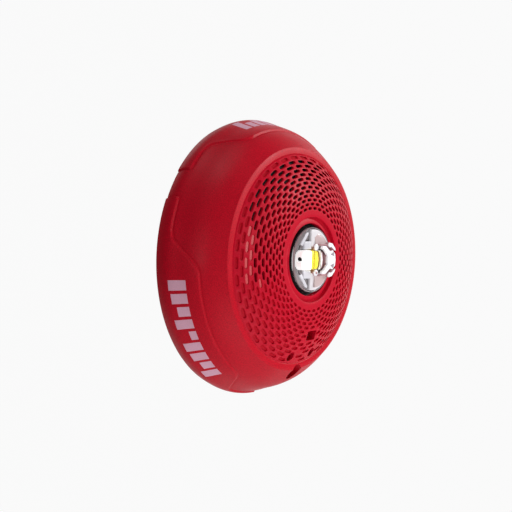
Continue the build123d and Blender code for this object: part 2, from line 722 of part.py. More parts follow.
def make_terminal_strips():
    solids = []
    for x in TERMINAL_XS:
        strip = block(around(x, 1.9), (-34.0, SPRING_Z[1]), *STRIP_DEPTHS)
        strip += block(around(x, 1.9), SPRING_Z, STRIP_DEPTHS[0], 11.5)
        strip -= disc(x, -30.5, 1.7, 3, 5)
        solids.append(strip)
    return group(solids)


def make_terminal_clamps():
    solids = []
    for x in TERMINAL_XS:
        clamp = block(around(x, 3.8), (-34.2, -26.8), 7.0, 8.2)
        solids.append(clamp - disc(x, -30.5, 1.75, 6, 9))
    return group(solids)


def make_terminal_screws():
    return group(screw_solid(x, -30.5, 1.6, 3.3, 8.2, 10.6, 3.6, -1) for x in TERMINAL_XS)


# ---- every node ---------------------------------------------------------
NODES = {
    "mounting_plate": make_mounting_plate,
    "thread_insert": make_thread_insert,
    "terminal_block": make_terminal_block,
    "terminal_strips": make_terminal_strips,
    "terminal_clamps": make_terminal_clamps,
    "terminal_screws": make_terminal_screws,
    "front_housing": make_front_housing,
    "screw_boss": make_screw_boss,
    "front_grille": make_front_grille,
    "rear_cover": make_rear_cover,
    "cover_screws": make_cover_screws,
    "horn_chamber": make_horn_chamber,
    "chamber_gasket": make_chamber_gasket,
    "sounder_diaphragm": make_sounder_diaphragm,
    "piezo_element": make_piezo_element,
    "sounder_retainer": make_sounder_retainer,
    "sounder_contacts": make_sounder_contacts,
    "main_board": make_main_board,
    "board_screws": make_board_screws,
    "capacitors": make_capacitors,
    "coil_core": make_coil_core,
    "coil_winding": make_coil_winding,
    "driver_chips": make_driver_chips,
    "contact_blades": make_contact_blades,
    "strobe_pedestal": make_strobe_pedestal,
    "heat_spreader": make_heat_spreader,
    "led_board": make_led_board,
    "led_pins": make_led_pins,
    "led_carrier": make_led_carrier,
    "led_emitter": make_led_emitter,
    "led_optic": make_led_optic,
    "strobe_lens": make_strobe_lens,
    "lens_seal": make_lens_seal,
    "tone_switch": make_tone_switch,
    "tone_selector": make_tone_selector,
    "light_switch": make_light_switch,
    "light_slider": make_light_slider,
    "captive_screw": make_captive_screw,
    "screw_retainer": make_screw_retainer,
}

for node_name, make_node in NODES.items():
    export_step(make_node(), "parts/" + node_name + ".step")
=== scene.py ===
import json
import math

import bmesh
import bpy
from mathutils import Matrix, Vector


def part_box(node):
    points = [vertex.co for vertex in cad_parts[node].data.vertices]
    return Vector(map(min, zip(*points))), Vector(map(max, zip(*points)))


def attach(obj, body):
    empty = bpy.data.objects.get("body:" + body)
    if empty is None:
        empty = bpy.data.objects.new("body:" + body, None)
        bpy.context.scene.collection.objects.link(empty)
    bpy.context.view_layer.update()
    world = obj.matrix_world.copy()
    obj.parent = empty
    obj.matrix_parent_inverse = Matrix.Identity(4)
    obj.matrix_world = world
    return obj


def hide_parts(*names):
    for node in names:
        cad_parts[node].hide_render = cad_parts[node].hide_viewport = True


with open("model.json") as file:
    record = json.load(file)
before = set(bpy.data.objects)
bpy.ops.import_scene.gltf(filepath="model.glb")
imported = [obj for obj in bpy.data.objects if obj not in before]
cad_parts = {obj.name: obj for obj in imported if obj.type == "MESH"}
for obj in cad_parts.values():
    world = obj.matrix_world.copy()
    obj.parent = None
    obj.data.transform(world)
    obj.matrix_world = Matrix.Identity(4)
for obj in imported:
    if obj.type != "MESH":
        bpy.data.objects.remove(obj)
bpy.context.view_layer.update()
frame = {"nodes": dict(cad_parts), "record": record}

# A wall-hung alarm sounder with a strobe in its middle. The wall is y = 0, the face looks along -Y
# and +Z is 12 o'clock. Clock angles run clockwise as seen from the front. Sizes are in millimetres
# and become metres when a mesh is made. Heights are measured forwards from the face edge.
MM = 0.001

# ---- driving dimensions, read from the frame ------------------------------
housing_low, housing_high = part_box("front_housing")
grille_low, grille_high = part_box("front_grille")
carrier_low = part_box("led_carrier")[0]
BAND_HEIGHT = 0.8
BODY_DEPTH = -housing_low[1] / MM - BAND_HEIGHT
RIM_HEIGHT = -housing_high[1] / MM - BODY_DEPTH
HOUSING_REACH = housing_high[0] / MM - 0.01
GRILLE_EDGE = grille_high[0] / MM
DOME_HEIGHT = -grille_low[1] / MM - BODY_DEPTH
BAR_HEIGHT = -carrier_low[1] / MM - BODY_DEPTH
BAR_REACH = 18.4
NEAR_AXIS = 0.2


# ---- small helpers --------------------------------------------------------
def depth_at(height):
    """The y of a height above the face edge."""
    return -(BODY_DEPTH + height)


def height_of(wall_distance):
    """The height above the face edge of a distance from the wall."""
    return wall_distance - BODY_DEPTH


def clock_place(radius, degrees):
    """The (x, z) place at a radius and clock angle."""
    angle = math.radians(degrees)
    return radius * math.sin(angle), radius * math.cos(angle)


def clock_point(radius, degrees, height):
    """A corner at a radius, clock angle and height above the face edge."""
    x, z = clock_place(radius, degrees)
    return (x, depth_at(height), z)


def smooth_step(value):
    value = min(max(value, 0.0), 1.0)
    return value * value * (3 - 2 * value)


def smooth_max(first, second, width):
    """The larger value, with the corner between the two rounded over a width."""
    overlap = max(width - abs(first - second), 0.0) / width
    return max(first, second) + overlap * overlap * width / 4


def smooth_min(first, second, width):
    return -smooth_max(-first, -second, width)


def turn_between(first, second):
    """Signed difference of two clock angles."""
    return (first - second + 180) % 360 - 180


WELD_DISTANCE = 1e-7
SHARP_DEGREES = 38
STROBE_SHARP_DEGREES = 40
CUTTER_SHARP_DEGREES = 30


def mesh_from(name, corners, faces):
    """A mesh from corners in millimetres."""
    mesh = bpy.data.meshes.new(name)
    mesh.from_pydata([Vector(corner) * MM for corner in corners], [], faces)
    return mesh


def link_object(name, data):
    """A new object in the scene."""
    thing = bpy.data.objects.new(name, data)
    bpy.context.scene.collection.objects.link(thing)
    return thing


def finish_mesh(mesh, sharp_degrees):
    """Outward normals and smooth shading with sharp creases kept."""
    bm = bmesh.new()
    bm.from_mesh(mesh)
    bmesh.ops.remove_doubles(bm, verts=bm.verts, dist=WELD_DISTANCE)
    bmesh.ops.recalc_face_normals(bm, faces=bm.faces)
    bm.to_mesh(mesh)
    bm.free()
    mesh.shade_smooth()
    mesh.set_sharp_from_angle(angle=math.radians(sharp_degrees))


def add_piece(
    name, corners, faces, material, slot, stands_for=(), sharp_degrees=SHARP_DEGREES, others=(), shades=()
):
    """A closed mesh that rides on the head and stands for CAD nodes. `shades` says which faces have
    one of the `others` in place of the material."""
    mesh = mesh_from(name, corners, faces)
    for surface in (material, *others):
        mesh.materials.append(surface)
    if shades:
        mesh.polygons.foreach_set("material_index", shades)
    finish_mesh(mesh, sharp_degrees)
    piece = link_object(name, mesh)
    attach(piece, "head")
    if stands_for:
        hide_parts(*stands_for)
    return piece


def join_parts(parts):
    """One list of corners and faces from several."""
    corners = []
    faces = []
    for part_corners, part_faces in parts:
        start = len(corners)
        corners.extend(part_corners)
        faces.extend([tuple(start + index for index in face) for face in part_faces])
    return corners, faces


def quads_between(here, there):
    """Quads between two closed loops of the same length."""
    afters = [(i + 1) % len(here) for i in range(len(here))]
    return [(here[i], here[after], there[after], there[i]) for i, after in enumerate(afters)]


def ring_of_loops(loops):
    """Quads from each loop to the next, and from the last to the first."""
    faces = []
    for number, here in enumerate(loops):
        faces += quads_between(here, loops[(number + 1) % len(loops)])
    return faces


def turned_rows(rows, columns, place):
    """A closed ring of quads: each row is swept round the axis and the last joins the first."""
    corners = []
    for row in rows:
        corners.extend([place(row, 360 * column / columns) for column in range(columns)])
    loops = [range(number * columns, (number + 1) * columns) for number in range(len(rows))]
    return corners, ring_of_loops(loops)


def turned(profile, columns=96):
    """A ring about the device axis from a closed loop of (radius, height)."""
    return turned_rows(profile, columns, lambda row, angle: clock_point(row[0], angle, row[1]))


BEHIND_SKIN = 0.6


def sleeve(centre, outline, surface, columns=40):
    """A closed tube along the depth. Each outline entry is (radius, height), where a height of
    None follows the surface, a little behind it."""
    def place(row, angle):
        x = centre[0] + row[0] * math.sin(math.radians(angle))
        z = centre[1] + row[0] * math.cos(math.radians(angle))
        height = surface(math.hypot(x, z)) - BEHIND_SKIN if row[1] is None else row[1]
        return (x, depth_at(height), z)
    return turned_rows(outline, columns, place)


def capped(corners, count):
    """The corners and the faces of a closed prism between two loops of `count` corners."""
    faces = [tuple(range(count)), tuple(range(2 * count - 1, count - 1, -1))]
    for i in range(count):
        after = (i + 1) % count
        faces.append((i, count + i, count + after, after))
    return corners, faces


def round_outline(x, z, radius, columns=20):
    """Corners of a disc."""
    angles = [2 * math.pi * column / columns for column in range(columns)]
    return [(x + radius * math.sin(angle), z + radius * math.cos(angle)) for angle in angles]


def cylinder(centre, radius, low, high, columns=48):
    """A closed cylinder along the depth."""
    ring = round_outline(*centre, radius, columns)
    corners = [(x, depth_at(height), z) for height in (low, high) for x, z in ring]
    return capped(corners, columns)


def cut_away(piece, cutters):
    """Cuts closed shapes out of a piece."""
    mesh = mesh_from("cutter", *join_parts(cutters))
    finish_mesh(mesh, CUTTER_SHARP_DEGREES)
    cutter = link_object("cutter", mesh)
    step = piece.modifiers.new("cut", "BOOLEAN")
    step.object = cutter
    step.operation = "DIFFERENCE"
    step.solver = "EXACT"
    graph = bpy.context.evaluated_depsgraph_get()
    result = bpy.data.meshes.new_from_object(piece.evaluated_get(graph))
    piece.modifiers.clear()
    piece.data = result
    bpy.data.objects.remove(cutter)
    result.shade_smooth()
    result.set_sharp_from_angle(angle=math.radians(SHARP_DEGREES))


# ---- materials ------------------------------------------------------------
def add_noise(tree, scale, detail=4.0):
    """Noise in the piece's own space. The scale is in grains per metre."""
    places = tree.nodes.new("ShaderNodeTexCoord")
    noise = tree.nodes.new("ShaderNodeTexNoise")
    noise.inputs["Scale"].default_value = scale
    noise.inputs["Detail"].default_value = detail
    tree.links.new(places.outputs["Object"], noise.inputs["Vector"])
    return noise.outputs["Fac"]


def add_ramp(tree, value, stops):
    ramp = tree.nodes.new("ShaderNodeValToRGB")
    elements = ramp.color_ramp.elements
    while len(elements) < len(stops):
        elements.new(0.5)
    for element, (position, colour) in zip(elements, stops):
        element.position = position
        element.color = (*colour, 1)
    tree.links.new(value, ramp.inputs["Fac"])
    return ramp.outputs["Color"]


def add_range(tree, value, low, high):
    """The middle of a noise's values, spread from low to high."""
    span = tree.nodes.new("ShaderNodeMapRange")
    span.inputs["From Min"].default_value = 0.3
    span.inputs["From Max"].default_value = 0.7
    span.inputs["To Min"].default_value = low
    span.inputs["To Max"].default_value = high
    tree.links.new(value, span.inputs["Value"])
    return span.outputs["Result"]


def add_bump(tree, value, shader, strength, distance):
    bump = tree.nodes.new("ShaderNodeBump")
    bump.inputs["Strength"].default_value = strength
    bump.inputs["Distance"].default_value = distance
    tree.links.new(value, bump.inputs["Height"])
    tree.links.new(bump.outputs["Normal"], shader.inputs["Normal"])


GRAIN_RELIEF = 0.00005
PATCHES_PER_METRE = 60
ROUGH_SPREAD = (0.88, 1.14)


def scaled(colour, share):
    return tuple(min(part * share, 1.0) for part in colour)


def grained(name, colour, rough, grain=900, bump=0.25, metal=0.0, contrast=0.12, shine=0.5):
    """A moulded or machined surface: fine grain in colour and relief, broad patches in roughness."""
    material = bpy.data.materials.new(name)
    material.use_nodes = True
    tree = material.node_tree
    shader = tree.nodes["Principled BSDF"]
    shader.inputs["Metallic"].default_value = metal
    shader.inputs["Specular IOR Level"].default_value = shine
    fine = add_noise(tree, grain, 6.0)
    broad = add_noise(tree, PATCHES_PER_METRE, 3.0)
    dark = scaled(colour, 1 - contrast)
    light = scaled(colour, 1 + contrast)
    stops = ((0.32, dark), (0.5, colour), (0.72, light))
    tree.links.new(add_ramp(tree, fine, stops), shader.inputs["Base Color"])
    low, high = ROUGH_SPREAD
    tree.links.new(add_range(tree, broad, rough * low, rough * high), shader.inputs["Roughness"])
    add_bump(tree, fine, shader, bump, GRAIN_RELIEF)
    return material


def clear(name, tint, rough, through, grain=300, bump=0.05):
    """Clear moulded plastic with faint flow lines. `through` is how much light it passes."""
    material = grained(name, tint, rough, grain, bump, 0.0, 0.04)
    shader = material.node_tree.nodes["Principled BSDF"]
    shader.inputs["Transmission Weight"].default_value = through
    shader.inputs["IOR"].default_value = 1.49
    return material


def painted_glow(name, tint, rough, glow):
    """Milky plastic given a painted glow: its emission stands in for light falling on it, not light from
    inside.
    """
    material = grained(name, tint, rough, 900, 0.1, contrast=0.02)
    shader = material.node_tree.nodes["Principled BSDF"]
    shader.inputs["Emission Color"].default_value = (*tint, 1)
    shader.inputs["Emission Strength"].default_value = glow
    return material


def board_material():
    """Green solder mask with paler tracks."""
    material = grained("board_mask", (0.012, 0.09, 0.035), 0.35, 1400, 0.1)
    tree = material.node_tree
    shader = tree.nodes["Principled BSDF"]
    places = tree.nodes.new("ShaderNodeTexCoord")
    wave = tree.nodes.new("ShaderNodeTexWave")
    wave.inputs["Scale"].default_value = 160
    wave.inputs["Distortion"].default_value = 7
    wave.inputs["Detail"].default_value = 2
    tree.links.new(places.outputs["Object"], wave.inputs["Vector"])
    stops = ((0.80, (0.010, 0.075, 0.03)), (0.86, (0.03, 0.16, 0.06)))
    tree.links.new(add_ramp(tree, wave.outputs["Fac"], stops), shader.inputs["Base Color"])
    return material


SURFACES = {
    "red_plastic": grained("red_side", (0.55, 0.001, 0.015), 0.44, 1500, 1.0, contrast=0.24, shine=0.16),
    "red_face": grained("red_grille", (0.58, 0.003, 0.022), 0.44, 1300, 0.4, shine=0.11),
    "black_plastic": grained("black_moulding", (0.012, 0.012, 0.013), 0.6, 1100, 0.4, shine=0.2),
    "grey_plastic": grained("grey_moulding", (0.42, 0.42, 0.41), 0.55, 1100, 0.4),
    "white_plastic": grained("white_moulding", (0.86, 0.86, 0.85), 0.38, 900, 0.15, contrast=0.03),
    "switch_blue": grained("blue_moulding", (0.02, 0.09, 0.32), 0.45, 1200, 0.3),
    "clear_plastic": clear("clear_moulding", (0.93, 0.92, 0.94), 0.05, 0.9),
    # The phosphor's emission is a painted glow.
    "phosphor": painted_glow("yellow_phosphor", (0.98, 0.80, 0.05), 0.42, 0.45),
    "rubber": grained("rubber_seal", (0.010, 0.010, 0.010), 0.85, 1500, 0.5),
    "circuit_board": board_material(),
    "chip_black": grained("chip_resin", (0.02, 0.02, 0.022), 0.6, 3000, 0.3),
    "capacitor_sleeve": grained("capacitor_sleeve", (0.015, 0.02, 0.05), 0.3, 500, 0.1),
    "ferrite": grained("ferrite", (0.03, 0.03, 0.032), 0.75, 1800, 0.7),
    "copper_winding": grained("copper_wire", (0.72, 0.25, 0.10), 0.32, 2600, 0.8, 1.0),
    "brass": grained("brass", (0.70, 0.48, 0.18), 0.3, 900, 0.2, 1.0),
    "nickel_contact": grained("nickel", (0.62, 0.60, 0.56), 0.3, 900, 0.2, 1.0),
    "zinc_steel": grained("zinc_steel", (0.60, 0.61, 0.63), 0.35, 700, 0.35, 1.0),
    "aluminium": grained("aluminium", (0.76, 0.77, 0.78), 0.4, 700, 0.3, 1.0),
    "piezo_ceramic": grained("silvered_ceramic", (0.72, 0.70, 0.64), 0.45, 1400, 0.3),
}


def dress_cad_nodes():
    """Every CAD node gets the surface of its slot in the record."""
    for entry in frame["record"]["subparts"]:
        node = frame["nodes"][entry["node"]]
        node.data.materials.clear()
        node.data.materials.append(SURFACES[entry["material_slot"]])


# ---- housing --------------------------------------------------------------
# The side wall's curve, as (height, radius) from its rim to the band.
SIDE_PROFILE = (
    (RIM_HEIGHT, 83.3),
    (-33.6, 85.6),
    (-25.3, 83.7),
    (-16.8, 81.2),
    (-8.45, 76.9),
    (0.0, 69.6),
)
BAND_OUTER = 69.6
BAND_INNER = GRILLE_EDGE + 0.05
HOUSING_WALL = 2.2
RAISED_LAYER = 0.9
EDGE_START = 0.2
EDGE_WIDTH = 0.45
GROOVE_DEPTH = 0.3
GROOVE_PLACE = 0.5
GROOVE_HALF_WIDTH = 0.7
FLANGE_HEIGHT = -31.0
PAD_HEIGHT = -13.0
PAD_HALF_WIDTHS = (56.0, 39.5)
PAD_TURNS = (6.5, 120, 240)
PAD_CORNER = 5
PAD_FOOT = 4
PAD_LOOK_DEGREES = 80
FAR_AWAY = 50.0
NOTCH_TURNS = (64.5, 172.7, 304.5)
NOTCH_HALF_WIDTH = 10.0
NOTCH_CORNER = 1.5
SCREW_PLACE = (2.4, -71.2)
SCREW_RECESS_RADIUS = 4.9
SCREW_SEAT_HEIGHT = height_of(13.95)
SCREW_SHANK_HOLE = 2.1
BOSS_RADIUS = 7.0
POST_TURNS = (45, 135, 225, 315)
POST_CIRCLE = 71.5
POST_RADIUS = 4.0
POST_HOLE = 1.3
POST_HOLE_DEPTH = 8
POST_REAR = height_of(12.0)
COLUMNS = 900
SIDE_STEPS = 92
INNER_STEPS = 6
INNER_TOP = -4.4
LEDGE_RADIUS = 62.0
LEDGE_HEIGHT = -1.3
BAND_STEPS = ((69.5, 0.16), (69.2, 0.32), (67.5, 0.55), (65.6, 0.79), (65.3, 0.78), (BAND_INNER, 0.6))
RIM_CHAMFER = (0.4, 0.35)
THROUGH_SKIN = (-40, 6)
CURVE_SWEEPS = 200
FRONT_OF_SIDE = -25.0
HALVINGS = 30


def curve_bends(points):
    """Second derivatives of the smooth curve through the points."""
    count = len(points)
    bends = [0.0] * count
    for _ in range(CURVE_SWEEPS):
        for i in range(1, count - 1):
            before = points[i][0] - points[i - 1][0]
            after = points[i + 1][0] - points[i][0]
            rise = (points[i + 1][1] - points[i][1]) / after - (points[i][1] - points[i - 1][1]) / before
            bends[i] = (6 * rise - before * bends[i - 1] - after * bends[i + 1]) / (2 * (before + after))
    return bends


SIDE_BENDS = curve_bends(SIDE_PROFILE)


def side_radius(height):
    """Radius of the curved side wall at a height."""
    number = 0
    while number < len(SIDE_PROFILE) - 2 and height > SIDE_PROFILE[number + 1][0]:
        number += 1
    low, low_radius = SIDE_PROFILE[number]
    high, high_radius = SIDE_PROFILE[number + 1]
    span = high - low
    first = (high - height) / span
    second = (height - low) / span
    sag = (first ** 3 - first) * SIDE_BENDS[number] + (second ** 3 - second) * SIDE_BENDS[number + 1]
    return first * low_radius + second * high_radius + sag * span * span / 6


def side_height(radius):
    """Height of the outer skin at a radius: the band, or the front part of the side wall."""
    if radius <= BAND_OUTER:
        return BAND_HEIGHT * (BAND_OUTER - radius) / (BAND_OUTER - BAND_INNER)
    low = FRONT_OF_SIDE
    high = 0.0
    for _ in range(HALVINGS):
        middle = (low + high) / 2
        if side_radius(middle) > radius:
            low = middle
        else:
            high = middle
    return low


def pad_distance(radius, offset, height):
    """Distance outside one trapezium pad, measured on the side wall."""
    if abs(offset) > PAD_LOOK_DEGREES:
        return FAR_AWAY
    wide, narrow = PAD_HALF_WIDTHS
    slope = (wide - narrow) / (PAD_HEIGHT - FLANGE_HEIGHT)
    above = height - PAD_HEIGHT
    across = abs(radius * math.sin(math.radians(offset)))
    beside = (across - narrow + slope * above) / math.hypot(1, slope)
    return smooth_max(above, beside, PAD_CORNER)


def raised_distance(radius, angle, height):
    """Distance outside the raised layer: the flange, less its gaps, and the three pads."""
    distance = height - FLANGE_HEIGHT
    for turn in NOTCH_TURNS:
        across = radius * math.radians(abs(turn_between(angle, turn)))
        distance = smooth_max(distance, NOTCH_HALF_WIDTH - across, NOTCH_CORNER)
    for turn in PAD_TURNS:
        outside = pad_distance(radius, turn_between(angle, turn), height)
        distance = smooth_min(distance, outside, PAD_FOOT)
    return distance


def skin_point(row, angle):
    """A corner of the outer or inner skin. Rows are (kind, radius, height)."""
    kind, radius, height = row
    if kind == "outer":
        distance = raised_distance(radius, angle, height)
        lift = RAISED_LAYER * smooth_step((EDGE_START - distance) / EDGE_WIDTH)
        groove = GROOVE_DEPTH * max(1 - abs(distance - GROOVE_PLACE) / GROOVE_HALF_WIDTH, 0.0)
        radius = min(radius + lift - groove, HOUSING_REACH)
    return clock_point(radius, angle, height)


def housing_rows():
    """The housing's section: up the side, over the band, round the grille's ledge and back down."""
    rows = []
    for step in range(SIDE_STEPS + 1):
        height = RIM_HEIGHT * (1 - step / SIDE_STEPS)
        rows.append(("outer", side_radius(height), height))
    inward, upward = RIM_CHAMFER
    rows[0] = ("outer", rows[0][1] - inward, RIM_HEIGHT)
    rows.insert(1, ("outer", side_radius(RIM_HEIGHT), RIM_HEIGHT + upward))
    ledge = ((BAND_INNER, LEDGE_HEIGHT), (LEDGE_RADIUS, LEDGE_HEIGHT), (LEDGE_RADIUS, INNER_TOP))
    rows += [("band", radius, height) for radius, height in BAND_STEPS + ledge]
    for step in range(INNER_STEPS + 1):
        height = INNER_TOP + (RIM_HEIGHT - INNER_TOP) * step / INNER_STEPS
        rows.append(("inner", side_radius(height) - HOUSING_WALL, height))
    return rows


def screw_posts():
    """Posts behind the skin for the cover screws, and the walls of the screw recess."""
    rear = POST_REAR
    hole_end = rear + POST_HOLE_DEPTH
    outline = [(POST_HOLE, rear), (POST_HOLE, hole_end), (NEAR_AXIS, hole_end + 0.2), (NEAR_AXIS, None)]
    outline += [(POST_RADIUS, None), (POST_RADIUS, rear)]
    posts = [sleeve(clock_place(POST_CIRCLE, turn), outline, side_height) for turn in POST_TURNS]
    inner = SCREW_RECESS_RADIUS + 0.04
    outline = [(inner, None), (inner, SCREW_SEAT_HEIGHT), (SCREW_SHANK_HOLE, SCREW_SEAT_HEIGHT)]
    outline += [(SCREW_SHANK_HOLE, rear), (BOSS_RADIUS, rear), (BOSS_RADIUS, None)]
    posts.append(sleeve(SCREW_PLACE, outline, side_height))
    return posts


def add_housing():
    skin = turned_rows(housing_rows(), COLUMNS, skin_point)
    piece = add_piece("housing_shell", *skin, SURFACES["red_plastic"], "red_plastic", ("front_housing",))
    cut_away(piece, [cylinder(SCREW_PLACE, SCREW_RECESS_RADIUS, *THROUGH_SKIN, 64)])
    hidden = ("front_housing", "screw_boss")
    posts = join_parts(screw_posts())
    add_piece("housing_posts", *posts, SURFACES["red_plastic"], "red_plastic", hidden)


# ---- grille ---------------------------------------------------------------
GRILLE_EDGE_HEIGHT = 0.7
CROWN_RADIUS = 30.5
RECESS_RADIUS = 26.4
RECESS_DROP = 2.6
LIP_DROP = 1.4
STROBE_HOLE = 22.4
RECESS_BACK = height_of(52.0)
GRILLE_WALL = 2.0
SLOT_RINGS = 13
SLOTS_PER_RING = 38
RING_STEP = 2.605
FIRST_RING_RADIUS = 63.06
SLOT_HALF_WIDTH = 0.9
SLOT_SHARE = 0.69
SLOT_TURN = 1.15
SHORTEST_STRAIGHT = 0.15
CHAMBER_HALF_WIDTH = 53.0
INNER_SLOT_RADIUS = 35.5
LOWEST_INNER_SLOT = -5.0
LOWEST_SLOT = -10.5
# Blind slots in this patch get a painted highlight on their floors, standing for light on the chamber's
# rim.
PALE_SLOTS_X = -48
PALE_SLOTS_Z = (-12, 24)
PALE_SLOTS_RADIUS = 59
BLIND_DROP = 1.1
PALE_DROP = 0.7
# Faces marked SHADED get a darker copy of the grille's red, as painted shade in the slots.
SHADED = 1
PALE = 2
STEPS_PER_SLOT = 10
LEVELS_PER_RING = 4
STEPS = SLOTS_PER_RING * STEPS_PER_SLOT
WINDOW_PLACE = (3.4, -47.5)
WINDOW_SIZE = (9.4, 6.0)
WELLS = ((-9.9, -59.8), (11.9, -59.2))
WELL_RADIUS = 2.9
WELL_WALL = 1.2
WELL_FLOOR = -4.8
WELL_REAR = -6
WINDOW_MARGINS = (2.4, 1.3)
WINDOW_CORNER = 0.7
WINDOW_REAR = -9
HOLE_MARGIN = 2.6


def circle_through(first, second, third):
    """Centre and radius of the circle through three (radius, height) points."""
    ax, ay = first
    bx, by = second
    cx, cy = third
    scale = 2 * (ax * (by - cy) + bx * (cy - ay) + cx * (ay - by))
    a = ax * ax + ay * ay
    b = bx * bx + by * by
    c = cx * cx + cy * cy
    x = (a * (by - cy) + b * (cy - ay) + c * (ay - by)) / scale
    y = (a * (cx - bx) + b * (ax - cx) + c * (bx - ax)) / scale
    return x, y, math.hypot(ax - x, ay - y)


DOME_MIDDLE = (49.2, 9.75)
DOME_EDGE = (GRILLE_EDGE, GRILLE_EDGE_HEIGHT)
DOME = circle_through(DOME_EDGE, DOME_MIDDLE, (CROWN_RADIUS, DOME_HEIGHT))


def dome_height(radius):
    """Height of the grille's front surface at a radius."""
    if radius < CROWN_RADIUS:
        return DOME_HEIGHT
    x, y, reach = DOME
    return y + math.sqrt(reach ** 2 - (min(radius, GRILLE_EDGE) - x) ** 2)


def step_angle(step):
    """Clock angle of a step round the rings."""
    return SLOT_TURN + 360 * step / STEPS


def painted_highlight_slot(x, z):
    """True for the blind slots just left of the open ones, whose floors get a painted highlight standing
    for the chamber's lit rim.
    """
    low, high = PALE_SLOTS_Z
    return x < PALE_SLOTS_X and low < z < high and math.hypot(x, z) < PALE_SLOTS_RADIUS


def slot_is_open(x, z):
    """Slots over the sound chamber go through, and the rest are blind."""
    radius = math.hypot(x, z)
    if radius > FIRST_RING_RADIUS - RING_STEP / 2 or abs(x) > CHAMBER_HALF_WIDTH:
        return False
    return z > (LOWEST_INNER_SLOT if radius < INNER_SLOT_RADIUS else LOWEST_SLOT)


def near_lower_hole(x, z):
    """True where a slot would run into the window, a well or the screw recess."""
    in_window = (
        abs(x - WINDOW_PLACE[0]) < WINDOW_SIZE[0] / 2 + WINDOW_MARGINS[0]
        and abs(z - WINDOW_PLACE[1]) < WINDOW_SIZE[1] / 2 + WINDOW_MARGINS[1]
    )
    in_well = any(math.dist((x, z), well) < WELL_RADIUS + HOLE_MARGIN for well in WELLS)
    in_recess = math.dist((x, z), SCREW_PLACE) < SCREW_RECESS_RADIUS + HOLE_MARGIN
    return in_window or in_well or in_recess


class GrilleMesh:
    """Corners shared by place, so that neighbouring cells meet without gaps."""

    def __init__(self):
        self.corners = []
        self.faces = []
        self.shades = []
        self.places = {}

    def grid(self, side, level, step):
        """A corner on the front or back surface at a radial level and a step round the ring."""
        key = (side, level, step % STEPS)
        if key not in self.places:
            radius = FIRST_RING_RADIUS + RING_STEP / 2 - RING_STEP * level / LEVELS_PER_RING
            height = dome_height(radius) - (GRILLE_WALL if side == "back" else 0)
            self.places[key] = self.add(radius, step_angle(step), height)
        return self.places[key]

    def add(self, radius, angle, height):
        self.corners.append(clock_point(radius, angle, height))
        return len(self.corners) - 1

    def strip(self, first, second, shade=0):
        """Quads between two loops of the same length."""
        self.faces += quads_between(first, second)
        self.shades += [shade] * len(first)

    def fan(self, loop, centre, shade=0):
        """Triangles from a loop to a corner in its middle."""
        self.faces += [(loop[i], loop[(i + 1) % len(loop)], centre) for i in range(len(loop))]
        self.shades += [shade] * len(loop)


def cell_border(mesh, side, ring, first_step):
    """The 28 corners round one cell."""
    low = ring * LEVELS_PER_RING
    high = low + LEVELS_PER_RING
    last = first_step + STEPS_PER_SLOT
    places = [(low, step) for step in range(first_step, last)]
    places += [(level, last) for level in range(low, high)]
    places += [(high, step) for step in range(last, first_step, -1)]
    places += [(level, first_step) for level in range(high, low, -1)]
    return [mesh.grid(side, level, step) for level, step in places]


def slot_outline():
    """28 points round a slot with rounded ends, in the order of a cell's border. Each point is its
    share along the straight middle, from -1 to 1, and its turn about the end's centre."""
    points = []
    for side in (1, -1):
        points.append((-side, math.radians(150 if side > 0 else -30)))
        for step in range(1, STEPS_PER_SLOT):
            points.append((side * (step - 5) / 4, math.radians(90 * side)))
        first_turn = 30 if side > 0 else 210
        for level in range(LEVELS_PER_RING):
            points.append((side, math.radians(first_turn - 15 * level)))
    return points


SLOT_POINTS = slot_outline()


def slot_loop(mesh, ring_radius, angle, half_width, drop, back=False):
    """One loop of a slot, `drop` below the grille's front surface."""
    half_arc = ring_radius * math.pi / SLOTS_PER_RING * SLOT_SHARE
    straight = max(half_arc - SLOT_HALF_WIDTH, SHORTEST_STRAIGHT)
    loop = []
    for along, turn in SLOT_POINTS:
        sideways = along * straight + half_width * math.cos(turn)
        radius = ring_radius + half_width * math.sin(turn)
        degrees = angle + math.degrees(sideways / ring_radius)
        height = dome_height(radius) - (GRILLE_WALL if back else drop)
        loop.append(mesh.add(radius, degrees, height))
    return loop


